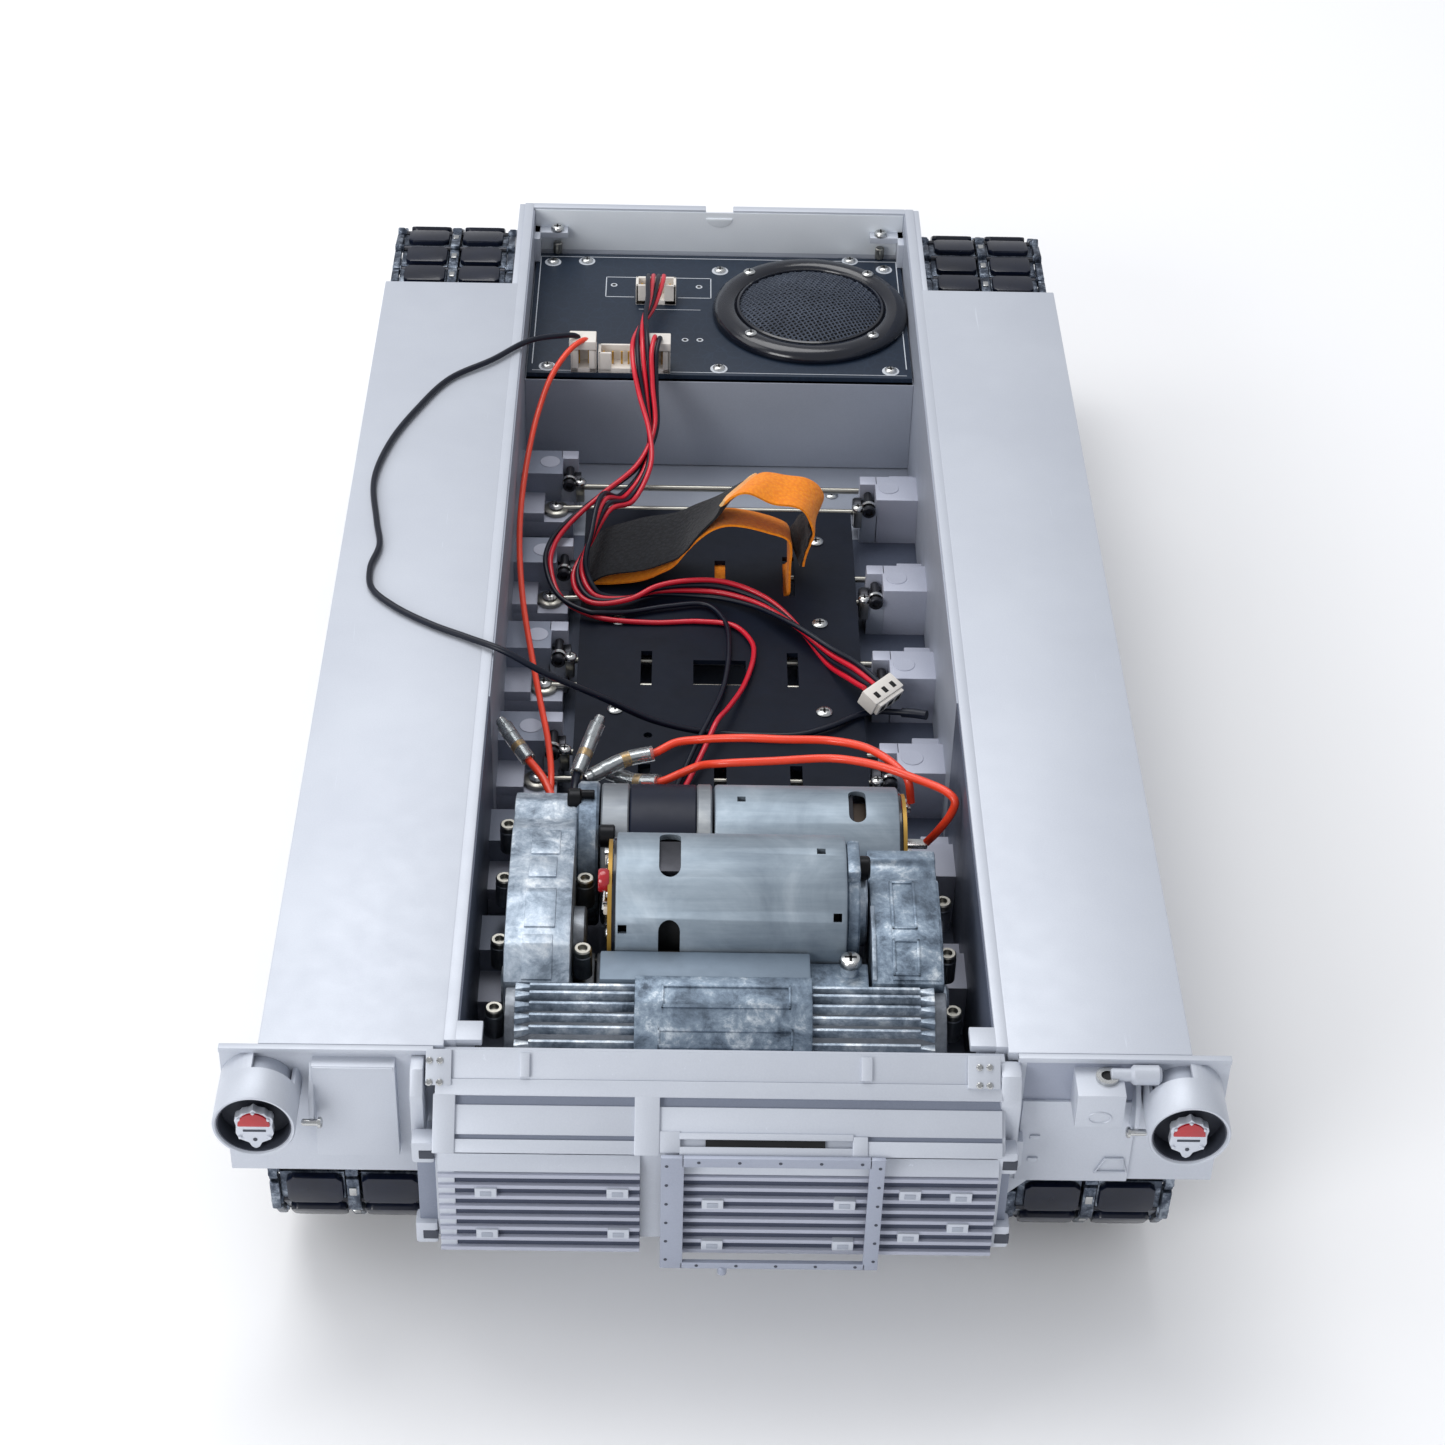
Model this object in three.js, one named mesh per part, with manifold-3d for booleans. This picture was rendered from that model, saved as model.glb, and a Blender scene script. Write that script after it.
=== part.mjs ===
// Tracked tank chassis, one sixteenth scale, in millimetres.
// +X right, +Y forward, +Z up. The tracks stand on Z = 0 and the origin is under the middle.
// Y values below are counted from the rear edge of the deck; the group moves them to the middle.
import * as THREE from 'three';
import { mergeVertices } from 'three/addons/utils/BufferGeometryUtils.js';
import Module from 'manifold-3d';

const wasm = await Module();
wasm.setup();

// ---- driving dimensions -------------------------------------------------
const GAP = 0.3;                 // between pieces that touch
const MIDDLE_Y = 195;            // middle of the overall length, from the deck's rear edge
const DECK_Z = 81.5;             // top of the walls and of the side decks
const BELLY_Z = 30;              // underside of the hull
const FLOOR_Z = 32.6;            // inside floor of the hull
const TUB_IN = 61.3;             // half width inside the tub
const TUB_OUT = 64.3;            // half width outside the tub
const DECK_OUT = 106;            // half width over the side decks
const DECK_LEN = 341;            // length of the side decks
const DECK_T = 2.6;              // thickness of the side decks
const FRONT_Y = 394;             // front face of the hull
const LIP_Z = 73.5;              // lower edge of the lips around the side decks

const TRACK_IN = 67.4;           // inner edge of a track
const TRACK_OUT = 107;           // outer edge of a track
const TRACK_MID = (TRACK_IN + TRACK_OUT) / 2;
const TRACK_T = 4.6;             // thickness of a track with its pads

const WHEEL_R = 19.2;
const WHEEL_HALF = 15.5;         // half width of a double wheel
const WHEEL_Z = TRACK_T + GAP + WHEEL_R;
const IDLER_Y = 390;
const IDLER_Z = 46.3;
const SPROCKET_Y = 22.5;
const SPROCKET_Z = 34.5;
const SPROCKET_R = 18.9;
const SPROCKET_TEETH = 11;
const ROLLER_R = 6;
const ROLLERS_RIGHT = [137.9, 267.2];

const PIVOT_Z = 39.4;            // torsion bars and swing arm pivots
const ARM_REACH = 14;            // wheel axle ahead of its pivot
const PIVOTS_RIGHT = [324.4, 276.9, 229.4, 187.2, 145, 102.8, 60.6];
const LEFT_LEAD = 11.8;          // the left running gear sits this far ahead of the right
const SPINDLE_R = 3;
const BORE_R = 3.3;
const SHAFT_R = 4;
const BAR_R = 0.9;

const TRAY_Z = 43.5;             // top of the battery tray
const BOARD_Z = 66;              // top of the circuit board
const BOARD_REAR = 312.5;
const BOARD_FRONT = 388;

const CORD_SIDES = 8;

const MOTOR_BAY_END = 115;       // narrower arm blocks behind this line clear the motors
const DRIVE_AXIS = [56.2, 72.5];     // Y, Z
const STEER_AXIS = [91, 59.3];
const MOTOR_R = 18;

// ---- helpers ------------------------------------------------------------
const V3 = (x, y, z) => new THREE.Vector3(x, y, z);

function solid(geometry) {
  geometry.deleteAttribute('normal');
  geometry.deleteAttribute('uv');
  const merged = mergeVertices(geometry, 1e-4);
  const positions = merged.attributes.position.array;
  const triangles = [];
  for (let i = 0; i < merged.index.count; i += 3) {
    const [a, b, c] = [0, 1, 2].map((k) => merged.index.getX(i + k));
    if (a !== b && b !== c && c !== a) triangles.push(a, b, c);
  }
  const mesh = (order) => new wasm.Mesh({
    numProp: 3, vertProperties: new Float32Array(positions), triVerts: new Uint32Array(order),
  });
  const body = new wasm.Manifold(mesh(triangles));
  if (body.volume() > 0) return body;
  const turned = [];
  for (let i = 0; i < triangles.length; i += 3) {
    turned.push(triangles[i], triangles[i + 2], triangles[i + 1]);
  }
  return new wasm.Manifold(mesh(turned));
}

const join = (list) => list.reduce((sum, next) => sum.add(next));
const cut = (body, list) => list.reduce((rest, next) => rest.subtract(next), body);

function box(x0, x1, y0, y1, z0, z1) {
  const geometry = new THREE.BoxGeometry(x1 - x0, y1 - y0, z1 - z0);
  geometry.translate((x0 + x1) / 2, (y0 + y1) / 2, (z0 + z1) / 2);
  return solid(geometry);
}

function outline(points) {
  return new THREE.Shape(points.map(([u, v]) => new THREE.Vector2(u, v)));
}

// A side view given as [y, z] points, drawn out from x0 to x1.
function sideways(points, x0, x1, hole) {
  const shape = outline(points);
  if (hole) shape.holes.push(outline(hole));
  const geometry = new THREE.ExtrudeGeometry(shape, { depth: x1 - x0, bevelEnabled: false });
  geometry.applyMatrix4(new THREE.Matrix4().makeBasis(V3(0, 1, 0), V3(0, 0, 1), V3(1, 0, 0)));
  geometry.translate(x0, 0, 0);
  return solid(geometry);
}

// A front view given as [x, z] points, drawn out from y0 to y1.
function lengthways(points, y0, y1) {
  const geometry = new THREE.ExtrudeGeometry(outline(points), { depth: y1 - y0, bevelEnabled: false });
  geometry.applyMatrix4(new THREE.Matrix4().makeBasis(V3(1, 0, 0), V3(0, 0, 1), V3(0, -1, 0)));
  geometry.translate(0, y1, 0);
  return solid(geometry);
}

// A round bar along X, Y or Z.
function barX(x0, x1, y, z, radius, sides = 16) {
  const geometry = new THREE.CylinderGeometry(radius, radius, x1 - x0, sides);
  geometry.rotateZ(Math.PI / 2);
  geometry.translate((x0 + x1) / 2, y, z);
  return solid(geometry);
}

function barY(x, y0, y1, z, radius, sides = 16) {
  const geometry = new THREE.CylinderGeometry(radius, radius, y1 - y0, sides);
  geometry.translate(x, (y0 + y1) / 2, z);
  return solid(geometry);
}

function barZ(x, y, z0, z1, radius, sides = 16) {
  const geometry = new THREE.CylinderGeometry(radius, radius, z1 - z0, sides);
  geometry.rotateX(Math.PI / 2);
  geometry.translate(x, y, (z0 + z1) / 2);
  return solid(geometry);
}

// A turned piece about an axis along X: points are [radius, x].
function turnedX(points, y, z, sides) {
  const geometry = new THREE.LatheGeometry(points.map(([r, x]) => new THREE.Vector2(r, x)), sides);
  geometry.rotateZ(-Math.PI / 2);
  geometry.translate(0, y, z);
  return solid(geometry);
}

function turnedZ(points, x, y, sides) {
  const geometry = new THREE.LatheGeometry(points.map(([r, z]) => new THREE.Vector2(r, z)), sides);
  geometry.rotateX(Math.PI / 2);
  geometry.translate(x, y, 0);
  return solid(geometry);
}

// A round cord through hand-set points.
function cord(points, radius, steps) {
  const ring = Array.from({ length: CORD_SIDES }, (_, i) => {
    const turn = (2 * Math.PI * i) / CORD_SIDES;
    return [radius * Math.cos(turn), radius * Math.sin(turn)];
  });
  const path = new THREE.CatmullRomCurve3(points.map((p) => V3(...p)), false, 'centripetal');
  return solid(new THREE.ExtrudeGeometry(outline(ring), { steps, extrudePath: path, bevelEnabled: false }));
}

const group = new THREE.Group();
group.position.set(0, -MIDDLE_Y, 0);

function add(name, body, color, roughness, metalness) {
  const { vertProperties, triVerts } = body.getMesh();
  const geometry = new THREE.BufferGeometry();
  geometry.setAttribute('position', new THREE.BufferAttribute(new Float32Array(vertProperties), 3));
  geometry.setIndex(new THREE.BufferAttribute(new Uint32Array(triVerts), 1));
  const mesh = new THREE.Mesh(geometry, new THREE.MeshStandardMaterial({ color, roughness, metalness }));
  mesh.name = name;
  group.add(mesh);
}

const PAINT = [0xc3c5d2, 0.55, 0.1];
const DARK_METAL = [0x2c2e33, 0.5, 0.6];
const RUBBER = [0x17181b, 0.85, 0];
const STEEL = [0x9a9ca0, 0.35, 0.9];
const ZINC = [0xa9b0ba, 0.45, 0.8];
const BLACK_PLASTIC = [0x1c1e22, 0.5, 0];

const SIDES = [['left', -1], ['right', 1]];
const staggered = (list, side) => list.map((y) => (side < 0 ? y + LEFT_LEAD : y));
const pivots = (side) => staggered(PIVOTS_RIGHT, side);
const rollers = (side) => staggered(ROLLERS_RIGHT, side);
// Mirrors a span of x to the given side, keeping it in rising order.
const span = (side, a, b) => (side > 0 ? [a, b] : [-b, -a]);

// ---- hull ---------------------------------------------------------------
function suspensionBlocks(side) {
  const parts = [];
  for (const y of pivots(side)) {
    const inner = y < MOTOR_BAY_END ? 49.6 : 43.5;
    const tall = box(...span(side, inner, TUB_IN + 0.5), y - 6.5, y + 6.5, FLOOR_Z - 0.6, 48.5);
    const notch = box(...span(side, 43, 48.2), y - 7, y + 2, 43, 49);
    parts.push(tall.subtract(notch));
    const anchorY = y - side * -LEFT_LEAD;
    parts.push(box(...span(side, 44.5, TUB_IN + 0.5), anchorY - 6, anchorY + 6, FLOOR_Z - 0.6, 38.2));
  }
  return parts;
}

function sideDeck(side) {
  return join([
    box(...span(side, TUB_IN + 0.5, DECK_OUT), 0, DECK_LEN, DECK_Z - DECK_T, DECK_Z),
    box(...span(side, DECK_OUT - 2.2, DECK_OUT), 0, DECK_LEN, LIP_Z, DECK_Z - 0.5),
    box(...span(side, TUB_OUT - 0.5, DECK_OUT), DECK_LEN - 2.2, DECK_LEN, LIP_Z, DECK_Z - 0.5),
    box(...span(side, TUB_OUT - 0.5, DECK_OUT), 0, 2.2, 66, DECK_Z - 0.5),
  ]);
}

function idlerBracket(side) {
  return join([
    box(...span(side, TUB_OUT - 0.5, 69), 376, IDLER_Y, IDLER_Z - 5, IDLER_Z + 7),
    barX(...span(side, TUB_OUT - 0.5, 69), IDLER_Y, IDLER_Z, 6.5),
    barX(...span(side, TUB_OUT - 0.5, 101), IDLER_Y, IDLER_Z, SPINDLE_R, 12),
  ]);
}

function hullTub() {
  const outside = sideways([[0, 36], [9, BELLY_Z], [366, BELLY_Z], [FRONT_Y, 46], [FRONT_Y, DECK_Z],
    [0, DECK_Z]], -TUB_OUT, TUB_OUT);
  const inside = sideways([[2.5, 37.4], [9.8, FLOOR_Z], [365.2, FLOOR_Z], [391, 47.4], [391, 90],
    [2.5, 90]], -TUB_IN, TUB_IN);
  const rearGap = box(-55.5, 55.5, -1, 4, 70, 90);
  const frontNotch = box(-4.5, 4.5, 390, 395, 79, 90);
  const cornerTabs = SIDES.map(([, side]) => box(...span(side, 55.5, TUB_IN + 0.5), 0, 6.5, 79.5, DECK_Z));
  const trayPosts = [254.6, 212.8, 171].flatMap((y) => [-29.3, 29.3].map(
    (x) => barZ(x, y, FLOOR_Z - 0.6, TRAY_Z - 1.5 - GAP, 3, 8)));
  const rollerPins = SIDES.flatMap(([, side]) => rollers(side).map(
    (y) => barX(...span(side, TUB_OUT - 0.5, 103), y, rollerZ(y), 2, 8)));
  const shaftHoles = SIDES.flatMap(([, side]) => [
    ...pivots(side).map((y) => barX(...span(side, 42, TUB_OUT + 1), y, PIVOT_Z, SHAFT_R + 0.4, 12)),
    barX(...span(side, 53.9, TUB_OUT + 1), SPROCKET_Y, SPROCKET_Z, 3.6, 16),
  ]);
  return cut(join([
    cut(outside, [inside, rearGap, frontNotch]), ...cornerTabs, ...trayPosts, ...rollerPins,
    ...SIDES.flatMap(([, side]) => [sideDeck(side), idlerBracket(side), ...suspensionBlocks(side)]),
  ]), shaftHoles);
}

// ---- tracks -------------------------------------------------------------
function trackCircles(side) {
  const axles = pivots(side).map((y) => y + ARM_REACH);
  return [
    { y: SPROCKET_Y, z: SPROCKET_Z, r: SPROCKET_R + 0.5 },
    { y: Math.min(...axles), z: WHEEL_Z, r: WHEEL_R + GAP },
    { y: Math.max(...axles), z: WHEEL_Z, r: WHEEL_R + GAP },
    { y: IDLER_Y, z: IDLER_Z, r: WHEEL_R + GAP },
  ];
}

// The direction in which the straight run from circle a to circle b faces outwards.
function runNormal(a, b) {
  const [dy, dz] = [b.y - a.y, b.z - a.z];
  const distance = Math.hypot(dy, dz);
  return Math.atan2(dz, dy) - Math.PI / 2 + Math.asin((a.r - b.r) / distance);
}

function beltOutline(circles, offset) {
  const points = [];
  circles.forEach((circle, i) => {
    const before = circles[(i + circles.length - 1) % circles.length];
    const after = circles[(i + 1) % circles.length];
    const start = runNormal(before, circle);
    let end = runNormal(circle, after);
    while (end < start) end += 2 * Math.PI;
    const steps = Math.max(1, Math.ceil((end - start) / (Math.PI / 12)));
    for (let k = 0; k <= steps; k += 1) {
      const angle = start + ((end - start) * k) / steps;
      const radius = circle.r + offset;
      points.push([circle.y + radius * Math.cos(angle), circle.z + radius * Math.sin(angle)]);
    }
  });
  return points;
}

function trackBand(side) {
  const circles = trackCircles(side);
  return sideways(beltOutline(circles, TRACK_T), ...span(side, TRACK_IN, TRACK_OUT), beltOutline(circles, 0));
}

// Height of a return roller's axle that just carries the upper run.
function rollerZ(y) {
  const [sprocket, , , idler] = trackCircles(1);
  const normal = runNormal(idler, sprocket);
  const [ny, nz] = [Math.cos(normal), Math.sin(normal)];
  const reach = ny * idler.y + nz * idler.z + idler.r - ROLLER_R - GAP;
  return (reach - ny * y) / nz;
}

// ---- running gear ---------------------------------------------------------
function doubleWheel(y, z, side) {
  const centre = side * TRACK_MID;
  const profile = [[BORE_R, -15.5], [WHEEL_R, -15.5], [WHEEL_R, -3], [7, -3], [7, 3], [WHEEL_R, 3],
    [WHEEL_R, WHEEL_HALF], [16.5, WHEEL_HALF], [11, 11], [BORE_R, 11], [BORE_R, -WHEEL_HALF]];
  return turnedX(profile.map(([r, x]) => [r, centre + side * x]), y, z, 18);
}

function returnRoller(y, side) {
  const centre = side * TRACK_MID;
  const profile = [[2.4, -13], [ROLLER_R, -13], [ROLLER_R, 13], [2.4, 13], [2.4, -13]];
  return turnedX(profile.map(([r, x]) => [r, centre + side * x]), y, rollerZ(y), 12);
}

function swingArm(pivotY, side) {
  const axleY = pivotY + ARM_REACH;
  const plate = span(side, TUB_OUT + 0.7, 69.2);
  const [dy, dz] = [ARM_REACH, WHEEL_Z - PIVOT_Z];
  const length = Math.hypot(dy, dz);
  const [ny, nz] = [(-dz / length) * 4.5, (dy / length) * 4.5];
  return join([
    barX(...span(side, 44, 69.2), pivotY, PIVOT_Z, SHAFT_R, 12),
    barX(...plate, pivotY, PIVOT_Z, 5.5, 12),
    barX(...plate, axleY, WHEEL_Z, 5.5, 12),
    sideways([[pivotY + ny, PIVOT_Z + nz], [pivotY - ny, PIVOT_Z - nz], [axleY - ny, WHEEL_Z - nz],
      [axleY + ny, WHEEL_Z + nz]], ...plate),
    barX(...span(side, 66, 100.5), axleY, WHEEL_Z, SPINDLE_R, 12),
    barX(...span(side, -50, 46), pivotY, PIVOT_Z, BAR_R, 6),
  ]);
}

function sprocket(side) {
  const rim = Array.from({ length: SPROCKET_TEETH }, (_, i) => {
    const middle = (2 * Math.PI * i) / SPROCKET_TEETH;
    return [[-0.2, 16], [-0.1, SPROCKET_R], [0.1, SPROCKET_R], [0.2, 16]].map(([turn, radius]) => [
      SPROCKET_Y + radius * Math.cos(middle + turn), SPROCKET_Z + radius * Math.sin(middle + turn)]);
  }).flat();
  return join([
    sideways(rim, ...span(side, 70, 74)),
    sideways(rim, ...span(side, 100.4, 104.4)),
    barX(...span(side, 73, 101), SPROCKET_Y, SPROCKET_Z, 12, 18),
    barX(...span(side, 54.3, 71), SPROCKET_Y, SPROCKET_Z, 3.2, 12),
  ]);
}

// ---- electronics ----------------------------------------------------------
function electronicsDeck() {
  const half = TUB_IN - 0.4;
  return join([
    box(-half, half, BOARD_REAR - 0.8, 390.6, BOARD_Z - 4.4, BOARD_Z - 1.9),
    box(-half, half, BOARD_REAR - 0.8, BOARD_REAR + 1.7, FLOOR_Z + GAP, BOARD_Z - 1.9),
  ]);
}

function circuitBoard() {
  return join([
    box(-60.5, 60.5, BOARD_REAR, BOARD_FRONT, BOARD_Z - 1.6, BOARD_Z),
    box(-27, -14, 355.5, 361.5, BOARD_Z - 0.5, 73),
    box(-46.5, -38.5, 313.2, 319.2, BOARD_Z - 0.5, 74),
    box(-38, -24, 313.2, 319.2, BOARD_Z - 0.5, 73),
    box(-23.5, -15.5, 313.2, 319.2, BOARD_Z - 0.5, 74),
  ]);
}

function speaker() {
  return turnedZ([[0, BOARD_Z + GAP], [31.5, BOARD_Z + GAP], [31.5, 68.6], [29, 70], [24, 70],
    [23, 69], [16, 71.2], [8, 72.6], [0, 73]], 29.3, 351, 24);
}

function batteryTray() {
  const plate = box(-40.5, 40.5, 118, 270.5, TRAY_Z - 1.5, TRAY_Z);
  const slot = (x, y0, y1, width) => box(x - width / 2, x + width / 2, y0, y1, 40, 46);
  return cut(plate, [
    slot(0, 183, 194.5, 15), slot(-20.9, 182.5, 198.5, 3.2), slot(20.9, 182.5, 198.5, 3.2),
    slot(-20.8, 135, 147, 3.4), slot(0, 135, 147, 3.4), slot(20.8, 135, 147, 3.4),
    slot(0.3, 234.8, 244, 3.2), slot(-20.9, 234.8, 244, 3.2), slot(20.7, 226.5, 246.5, 3.4),
    barZ(-20, 159.7, 40, 46, 1.3, 8),
  ]);
}

// ---- gearbox and motors ---------------------------------------------------
const CASE_REAR = 28.3;
const CASE_BOTTOM = 49;          // the outer cases stand clear of the arm blocks
const CENTRE_BOTTOM = 41.5;

function gearboxLeft() {
  const casting = sideways([[CASE_REAR, CASE_BOTTOM], [103.8, CASE_BOTTOM], [106.6, 54], [104.4, 66],
    [96.6, 74.6], [91, 77], [83.6, 76.6], [78, 78.8], [52, 80.1], [36, 78.1], [CASE_REAR, 72.8]], -52.6, -36.7);
  return join([
    casting,
    barX(-37, -31.5, ...STEER_AXIS, 18.2, 24),
    barX(-37, -33.5, 52, 64, 9, 16),
    box(-37, -31.5, CASE_REAR, 60, CASE_BOTTOM, 53.8),
  ]);
}

function gearboxRight() {
  return sideways([[CASE_REAR, CASE_BOTTOM], [71.8, CASE_BOTTOM], [71.8, 66], [75.6, 72], [72.5, 77.6],
    [69, 77.6], [68, 76.4], [61, 76.6], [59.7, 79.4], [40, 78.6], [CASE_REAR, 73.8]], 34.6, 52.5);
}

// Crests of the cooling fins: [y, z].
const FINS = [[26.4, 74.4], [24.2, 74], [21.7, 73], [19.4, 71.4], [17.2, 69.6], [14.8, 67.2], [12.9, 64.5]];

function gearboxCentre() {
  const cover = sideways([[6, 37], [11.5, 33.2], [28, 33.2], [28, 71.8], [25, 71.7], [22.6, 71.1],
    [20, 69.9], [17.8, 68.3], [15.4, 66], [13, 63], [11, 60], [8.6, 56], [6, 50]], -52, 52.5);
  const plate = sideways([[6.1, 55], [6.1, 58.5], [9, 62.8], [12.2, 67.2], [16, 71.2], [20.5, 74.4],
    [25.4, 76], [28, 76], [28, 55]], -21.3, 20.5);
  const bar = box(-29.7, 20.3, 27, 37.6, 52, 75);
  const shelf = box(20, 34.3, 27, 37.9, 50, 71.5);
  const body = box(-31.2, 34.3, 27, 60, CENTRE_BOTTOM, 53.8);
  const fins = FINS.flatMap(([y, z]) => [[-49.5, -21], [20, 49.5]].map(([x0, x1]) => sideways(
    [[y - 0.5, z - 4.6], [y + 0.5, z - 4.2], [y + 0.5, z], [y - 0.5, z - 0.4]], x0, x1)));
  return join([cover, plate, bar, shelf, body, ...fins]);
}

function driveMotor() {
  const [y, z] = DRIVE_AXIS;
  return join([
    barX(-26.2, 29.2, y, z, MOTOR_R, 24),
    barX(29, 32.4, y, z, 15, 16),
    barX(32.2, 34.3, y, z, 9, 12),
    barX(-28.4, -25.5, y, z, 15.5, 20),
    barX(-31.4, -28, y, z, 4, 10),
  ]);
}

function steeringMotor() {
  const [y, z] = STEER_AXIS;
  return join([
    barX(-31.2, -2.6, y, z, MOTOR_R, 24),
    barX(-3, 44.3, y, z, MOTOR_R - 0.3, 24),
    barX(44, 46, y, z, 15.5, 20),
    barX(45, 49, y, z, 4, 10),
  ]);
}

// ---- rear -----------------------------------------------------------------
const GRILLE_Y = -16.7;          // rear face of the housing behind the grilles
const GRILLE_Z = 32.4;           // lower edge of the grilles
const SLATS = 8;
const SLAT_PITCH = 3.46;

function rearHousing() {
  const front = -0.4;
  const outer = [[front, GRILLE_Z], [front, DECK_Z], [-3, DECK_Z], [-19.5, 66], [-19.5, 64.8], [-16.4, 62.2],
    [-16.4, GRILLE_Z + 2], [-14.4, GRILLE_Z]];
  const hollow = [[2, 35], [2, 76], [-4, 76], [-15, 65.5], [-13.4, 62], [-13.4, 35]];
  const shell = sideways(outer, -66, 63.5);
  return shell.subtract(sideways(hollow, -63.5, 61));
}

function grille(x0, x1) {
  const parts = [box(x0, x1, GRILLE_Y - 1.2, GRILLE_Y, GRILLE_Z, 61.8)];
  for (let i = 0; i < SLATS; i += 1) {
    const z = GRILLE_Z + i * SLAT_PITCH;
    parts.push(box(x0, x1, GRILLE_Y - 2.3, GRILLE_Y - 1, z, z + 1.3));
  }
  return join(parts);
}

function exhaustFrame() {
  const frame = cut(box(-14.7, 37, -22.3, -19.9, 30.5, 67.3), [box(-9.7, 34, -23, -19, 33.5, 64)]);
  return frame.add(box(4, 6.5, -24.1, -20.5, 30.5, 32.5));
}

function fender(side) {
  const plate = box(...span(side, 66, 115), -3.5, -1.8, 41.5, DECK_Z);
  const lip = box(...span(side, 66, 115), -3.5, -GAP, 80.2, DECK_Z);
  const lug = sideways([[-2, 57], [-9, 57], [-11.5, 60], [-11.5, 74], [-8, 80], [-2, 80]],
    ...span(side, 68, 70.8));
  const boxes = side < 0
    ? [box(-93.8, -74.9, -6.2, -3, 50, 78.7)]
    : [box(79.1, 90.1, -12.4, -3, 68.5, 78.5), box(68.3, 94.8, -4.4, -3.2, 41.6, 67.8)];
  return join([plate, lip, lug, ...boxes]);
}

function tailLight(side) {
  const x = side * 104.9;
  const z = 71.2;
  const tube = barY(x, -18, -3.8, z, 9.4, 20);
  return tube.subtract(barY(x, -19, -11, z, 7.9, 20));
}

// ---- strap and wires --------------------------------------------------------
// Battery strap seen from the front: [x, z] along the middle of the webbing.
// The lower layer comes from under the tray, up through a slot and over to the left.
const STRAP_LOWER = [[-22, 41.2], [-8, 41.1], [8, 41.1], [19.6, 41.2], [20.9, 42.6], [20.8, 46], [20.5, 52.9],
  [20.4, 57.7], [19.9, 60.6], [13.9, 64.1], [7.1, 66.3], [2.2, 66.8], [-1.7, 65.6], [-5.5, 62.5],
  [-9.3, 57.7], [-13.6, 51.6], [-17.5, 48.6], [-22.4, 46.3], [-29.8, 45.2], [-37.1, 44.7]];
// The upper layer folds back from there and ends on the right.
const STRAP_UPPER = [[-37.1, 44.7], [-38.3, 45.7], [-37.6, 47.2], [-34.2, 48.4], [-24.9, 50.2], [-17.5, 53],
  [-12.2, 56], [-8.6, 61], [-4.9, 66], [-2, 70.2], [0, 73.5], [2.9, 76.4], [6.7, 77.2], [15, 74.4],
  [22.8, 72.3], [25.6, 69.9], [26.9, 64.8], [26.1, 60], [24.8, 52.4]];

function webbing(route, half) {
  const edge = (sign) => route.map(([x, z], i) => {
    const [xa, za] = route[Math.max(i - 1, 0)];
    const [xb, zb] = route[Math.min(i + 1, route.length - 1)];
    const length = Math.hypot(xb - xa, zb - za);
    return [x - (sign * half * (zb - za)) / length, z + (sign * half * (xb - xa)) / length];
  });
  return lengthways([...edge(1), ...edge(-1).reverse()], 228.5, 245);
}

function batteryStrap() {
  return join([webbing(STRAP_LOWER, 0.6), webbing(STRAP_UPPER, 0.6)]);
}

const BLACK_LEAD = [[-43.8, 316.2, 74.8], [-44.5, 315.5, 77.5], [-50, 311.5, 80], [-59, 304, 82.5],
  [-69.5, 292, 82.9], [-81.5, 281.5, 82.6], [-90, 264.5, 82.6], [-96.5, 246, 82.6], [-99.5, 226, 82.6],
  [-97, 205.5, 82.6], [-95.2, 193.5, 82.6], [-96.8, 182.5, 82.6], [-95.5, 173, 82.6], [-89, 165, 82.6],
  [-78.5, 157, 82.6], [-68, 151, 82.7], [-59, 146, 82.6], [-47.5, 143.5, 77], [-33, 146.5, 67],
  [-19.5, 153.5, 54], [-9, 157.5, 47.5], [-2, 159, 45.2], [12.5, 158.5, 44.9], [22, 159, 45], [31, 163, 45],
  [38.5, 168.5, 44.6], [43.5, 170.6, 44.5], [49, 170.4, 44.5], [54, 168.8, 45.4]];
const RED_LEAD = [[-41.2, 316.2, 74.8], [-42, 314.5, 77], [-46, 309.5, 77], [-51.5, 301, 73],
  [-55.5, 289, 67], [-58, 268.5, 63], [-59, 247.5, 60], [-58.5, 227, 58], [-56.5, 205, 56],
  [-53, 181, 55], [-49.5, 158, 56], [-46.5, 138, 58], [-45, 122, 59], [-45, 112.5, 57],
  [-45, 108.5, 53.5]];
const HARNESS = [[-20.5, 358, 75.2], [-20.6, 354.5, 76.4], [-21, 348, 77.4], [-22, 338, 77.2],
  [-24.5, 325, 77], [-25, 314, 77.2], [-24.5, 306, 74], [-23, 297, 66.5], [-21.5, 286, 60],
  [-22.5, 274, 56], [-28, 262, 53.5], [-34, 249.5, 60], [-38, 237, 56], [-41, 227, 50.2],
  [-37, 219, 47.6], [-27.5, 219, 47], [-19, 223.5, 47], [-8.5, 225, 47], [1.5, 224, 47],
  [12, 219, 46.5], [22, 207.5, 46.5], [31.5, 193, 46.5], [37.6, 183, 49], [42.4, 174.8, 50.4]];
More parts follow.
